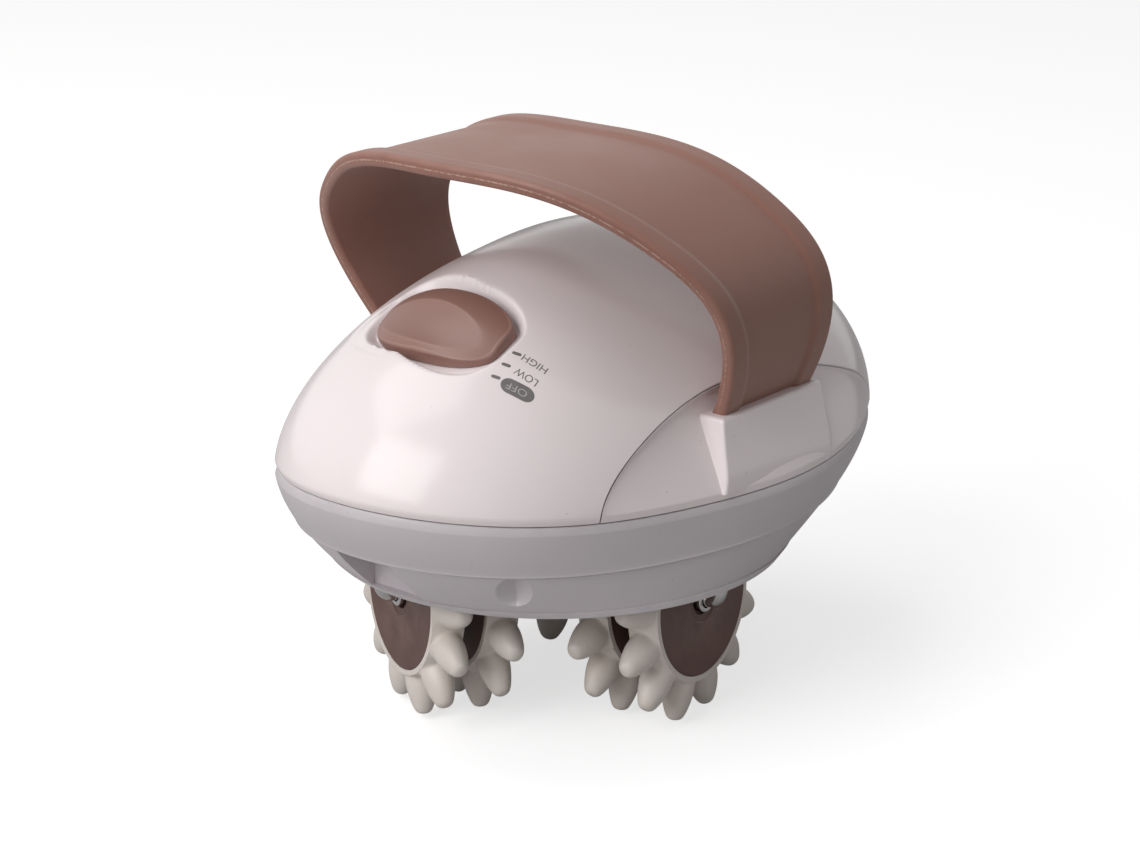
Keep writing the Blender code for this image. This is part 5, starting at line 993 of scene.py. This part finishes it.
hub_drop = 5 * mm
bore_top = 57.2 * mm
plate_profile = [(3.3 * mm, bore_top), (3.3 * mm, plate_under + plate_thickness),
                 (plate_radius, plate_under + plate_thickness), (plate_radius, plate_under - 1.4 * mm),
                 (plate_radius - 1.6 * mm, plate_under - 1.4 * mm), (plate_radius - 1.6 * mm, plate_under),
                 (8 * mm, plate_under), (7.6 * mm, plate_under - hub_drop), (0, plate_under - hub_drop)]
plate_rows = np.concatenate([turned([(0, bore_top)]), turned(plate_profile)])
plate_grids = [(placed(plate_rows, 0.0), False, True)]
boss_profile = np.array([(0, 1), (3.6, 1), (3.5, -4), (2.3, -4), (2.3, -1), (0, -1)]) * mm
for angle in arm_angles:
    for reach in rod_legs:
        boss = turned(boss_profile, 40) + np.array([reach, 0, plate_under])
        plate_grids.append((placed(boss, angle), False, True))
carrier = mesh_from_grids("rod_carrier", plate_grids)
round_edges(carrier, 0.3 * mm)
carrier.data.materials.append(satin_white)
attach(carrier, "rotor")
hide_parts("rotor_plate")


def rod_course():
    """Centre line of a rod in the plane of its arm: a leg, a round bend, the tilted axle, a bend and a
    leg."""
    axle = axle_height + rod_legs * np.tan(axle_tilt)
    corners = np.column_stack([np.repeat(rod_legs, 2), [leg_top, axle[0], axle[1], leg_top]])
    outer_bend = rounded(corners[1], corners[0], corners[2], rod_bend, 17)
    inner_bend = rounded(corners[2], corners[1], corners[3], rod_bend, 17)
    return np.concatenate([corners[:1], outer_bend, inner_bend, corners[3:]])


course = rod_course()
run = np.gradient(course, axis=0)
run /= np.linalg.norm(run, axis=1)[:, None]
side_way = np.column_stack([-run[:, 1], run[:, 0]])
spin = np.linspace(0, 2 * np.pi, 32, endpoint=False)
tube = np.stack([course[:, :1] + rod_radius * side_way[:, :1] * np.cos(spin),
                 rod_radius * np.sin(spin) + 0 * course[:, :1],
                 course[:, 1:] + rod_radius * side_way[:, 1:] * np.cos(spin)], -1)
tube = np.concatenate([np.broadcast_to(tube[:1].mean(1, keepdims=True), tube[:1].shape), tube,
                       np.broadcast_to(tube[-1:].mean(1, keepdims=True), tube[-1:].shape)])
chrome = moulded("chrome", (0.62, 0.61, 0.60), (0.55, 0.54, 0.53), (0.2, 0.18, 0.16), (0.75, 0.75, 0.74),
                 (0.09, 0.2), (1500, 0.002 * mm), (0.6, 0.2), 60.0, 1.0)
for number, angle in enumerate(arm_angles, 1):
    rod = mesh_from_grids("bent_rod_" + str(number), [(placed(tube, angle), False, True)])
    coat(rod, chrome)
    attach(rod, "rotor")
    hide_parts("axle_rod_" + str(number))

# Finger wheels: a tyre of soft cream silicone with thirteen round fingers, stretched over a tapered hub disc
# of dark brown plastic. Two of them run loose on each rod, kept apart by a spacer and steel washers.
hub_radius = 18.6 * mm
hub_taper = 1.6 * mm
hub_length = 8.4 * mm
hub_bore = 2.3 * mm
hub_hole = 4.1 * mm
hub_hole_depth = 1.6 * mm
tyre_width = 8.2 * mm
tyre_face_radius = 20 * mm
tyre_swell = 0.6 * mm
hub_dish = 0.2 * mm
hub_dish_radius = 5.8 * mm
finger_count = 13
finger_height = 9.3 * mm
wheel_faces = {"outer": 41.5 * mm, "inner": 27.75 * mm}
phase_shares = {"outer": (0.42, 0.5, 0.5), "inner": (0.25, 0.29, 0.675)}


def on_axle(points, angle, face):
    """Wheel points, drawn with the axle along X and the outer face at zero, put on the tilted axle of an
    arm."""
    along = points[..., 0] + face
    x = along * np.cos(axle_tilt) - points[..., 2] * np.sin(axle_tilt)
    z = along * np.sin(axle_tilt) + points[..., 2] * np.cos(axle_tilt)
    return placed(np.stack([x, points[..., 1], z], -1), angle, axle_height)


def wheel_turned(profile, sides=96):
    """Rows of a turned piece about the axle from its (radius, place) points."""
    rows = turned(profile, sides)
    return np.stack([rows[..., 2], rows[..., 0], rows[..., 1]], -1)


def finger(phase):
    """One finger with its stretch of the rim. Rows go from the stretch's four-sided border, lying on the rim,
    in to a circle, up the finger and over its round end: a B-spline of border share, circle radius and
    height."""
    posts = np.array([[0, 4.1, 0], [0.5, 4.0, 0], [0.95, 3.9, 0.1], [1, 3.85, 1.0], [1, 3.8, 2.6],
                      [1, 3.45, 4.5], [1, 2.95, 6.3], [1, 2.35, 7.9], [1, 1.75, 8.95], [1, 0.85, 9.24],
                      [1, 0, 9.24]])
    profile = spline_weights(np.linspace(0, 1, 26), len(posts)) @ posts
    border_share, radius, height = profile[:, :1], profile[:, 1:2] * mm, profile[:, 2:] * mm
    border_share[-1], radius[-1] = 1, 0
    spin = np.linspace(0, 2 * np.pi, 40, endpoint=False) + np.pi / 4
    reach = np.maximum(np.abs(np.cos(spin)), np.abs(np.sin(spin)))
    half_pitch = np.pi / finger_count * tyre_face_radius
    border_x = tyre_width / 2 * np.cos(spin) / reach
    border_y = half_pitch * np.sin(spin) / reach
    x = border_x * (1 - border_share) + radius * np.cos(spin) * border_share
    y = border_y * (1 - border_share) + radius * np.sin(spin) * border_share
    swell = tyre_swell * (1 - (2 * x / tyre_width) ** 2)
    rim = tyre_face_radius + swell
    flat_share = np.clip(height / finger_height, 0, 1)
    bend = y / tyre_face_radius
    side = (rim + height) * np.sin(bend) * (1 - flat_share) + y * flat_share
    up = (rim + height) * (np.cos(bend) * (1 - flat_share) + flat_share)
    return np.stack([x - tyre_width / 2, side * np.cos(phase) + up * np.sin(phase),
                     side * np.sin(phase) - up * np.cos(phase)], -1)


cream_silicone = moulded("cream_silicone", (0.70, 0.645, 0.60), (0.65, 0.585, 0.53), (0.4, 0.3, 0.2),
                         (0.76, 0.72, 0.67), (0.38, 0.5), (1800, 0.015 * mm), (0.5, 0.3), 60.0)
hub_plastic = moulded("hub_plastic", (0.088, 0.04, 0.031), (0.1, 0.047, 0.036), (0.05, 0.025, 0.02),
                      (0.2, 0.12, 0.1), (0.38, 0.5), (2200, 0.02 * mm), (0.5, 0.5), 40.0)
pitch = 2 * np.pi / finger_count
seat = hub_radius + gap / 2
back_seat = seat - hub_taper * tyre_width / hub_length
ring_profile = [(tyre_face_radius, 0), (tyre_face_radius - 0.35 * mm, 0), (seat, 0), (back_seat, -tyre_width),
                (tyre_face_radius, -tyre_width)]
hub_profile = [(hub_bore, -hub_hole_depth), (hub_hole, -hub_hole_depth), (hub_hole, -hub_dish),
               (hub_dish_radius, -hub_dish), (hub_dish_radius, 0), (hub_radius, 0),
               (hub_radius - hub_taper, -hub_length), (hub_bore, -hub_length)]
for number, angle in enumerate(arm_angles, 1):
    for place, face in wheel_faces.items():
        name = place + "_" + str(number)
        disc_rows = on_axle(wheel_turned(hub_profile), angle, face)
        disc = mesh_from_grids("hub_disc_" + name, [(disc_rows, True, True)])
        round_edges(disc, 0.25 * mm)
        coat(disc, hub_plastic)
        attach(disc, "wheel_" + name)
        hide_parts("hub_" + name)

        phase = phase_shares[place][number - 1]
        fingers = [(on_axle(finger(pitch * (count + phase)), angle, face), False, True)
                   for count in range(finger_count)]
        ring_rows = on_axle(wheel_turned(ring_profile, 10 * finger_count), angle, face)
        tyre = mesh_from_grids("finger_tyre_" + name, fingers + [(ring_rows, False, True)], 60 * degree)
        coat(tyre, cream_silicone)
        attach(tyre, "wheel_" + name)
        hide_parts("tyre_" + name)

# Washers and spacers: turned steel rings, plated, that slide on the rods. A washer stands in each outer hub's
# hole, a spacer keeps the two wheels apart, and a washer closes the row on the inside.
collar_bore = 2.3 * mm
collar_radius = 3.3 * mm
collars = {"washer_outer_": (40.2 * mm, 42.6 * mm), "spacer_": (26.45 * mm, 32.8 * mm),
           "washer_inner_": (17.85 * mm, 19.05 * mm)}
ring_edge = 0.2 * mm
for number, angle in enumerate(arm_angles, 1):
    for name, (start, end) in collars.items():
        profile = [(collar_bore, start), (collar_radius - ring_edge, start),
                   (collar_radius, start + ring_edge), (collar_radius, end - ring_edge),
                   (collar_radius - ring_edge, end), (collar_bore, end)]
        ring_rows = on_axle(wheel_turned(profile, 48), angle, 0)
        ring = mesh_from_grids("ring_" + name + str(number), [(ring_rows, True, True)])
        coat(ring, chrome)
        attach(ring, "rotor")
        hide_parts(name + str(number))
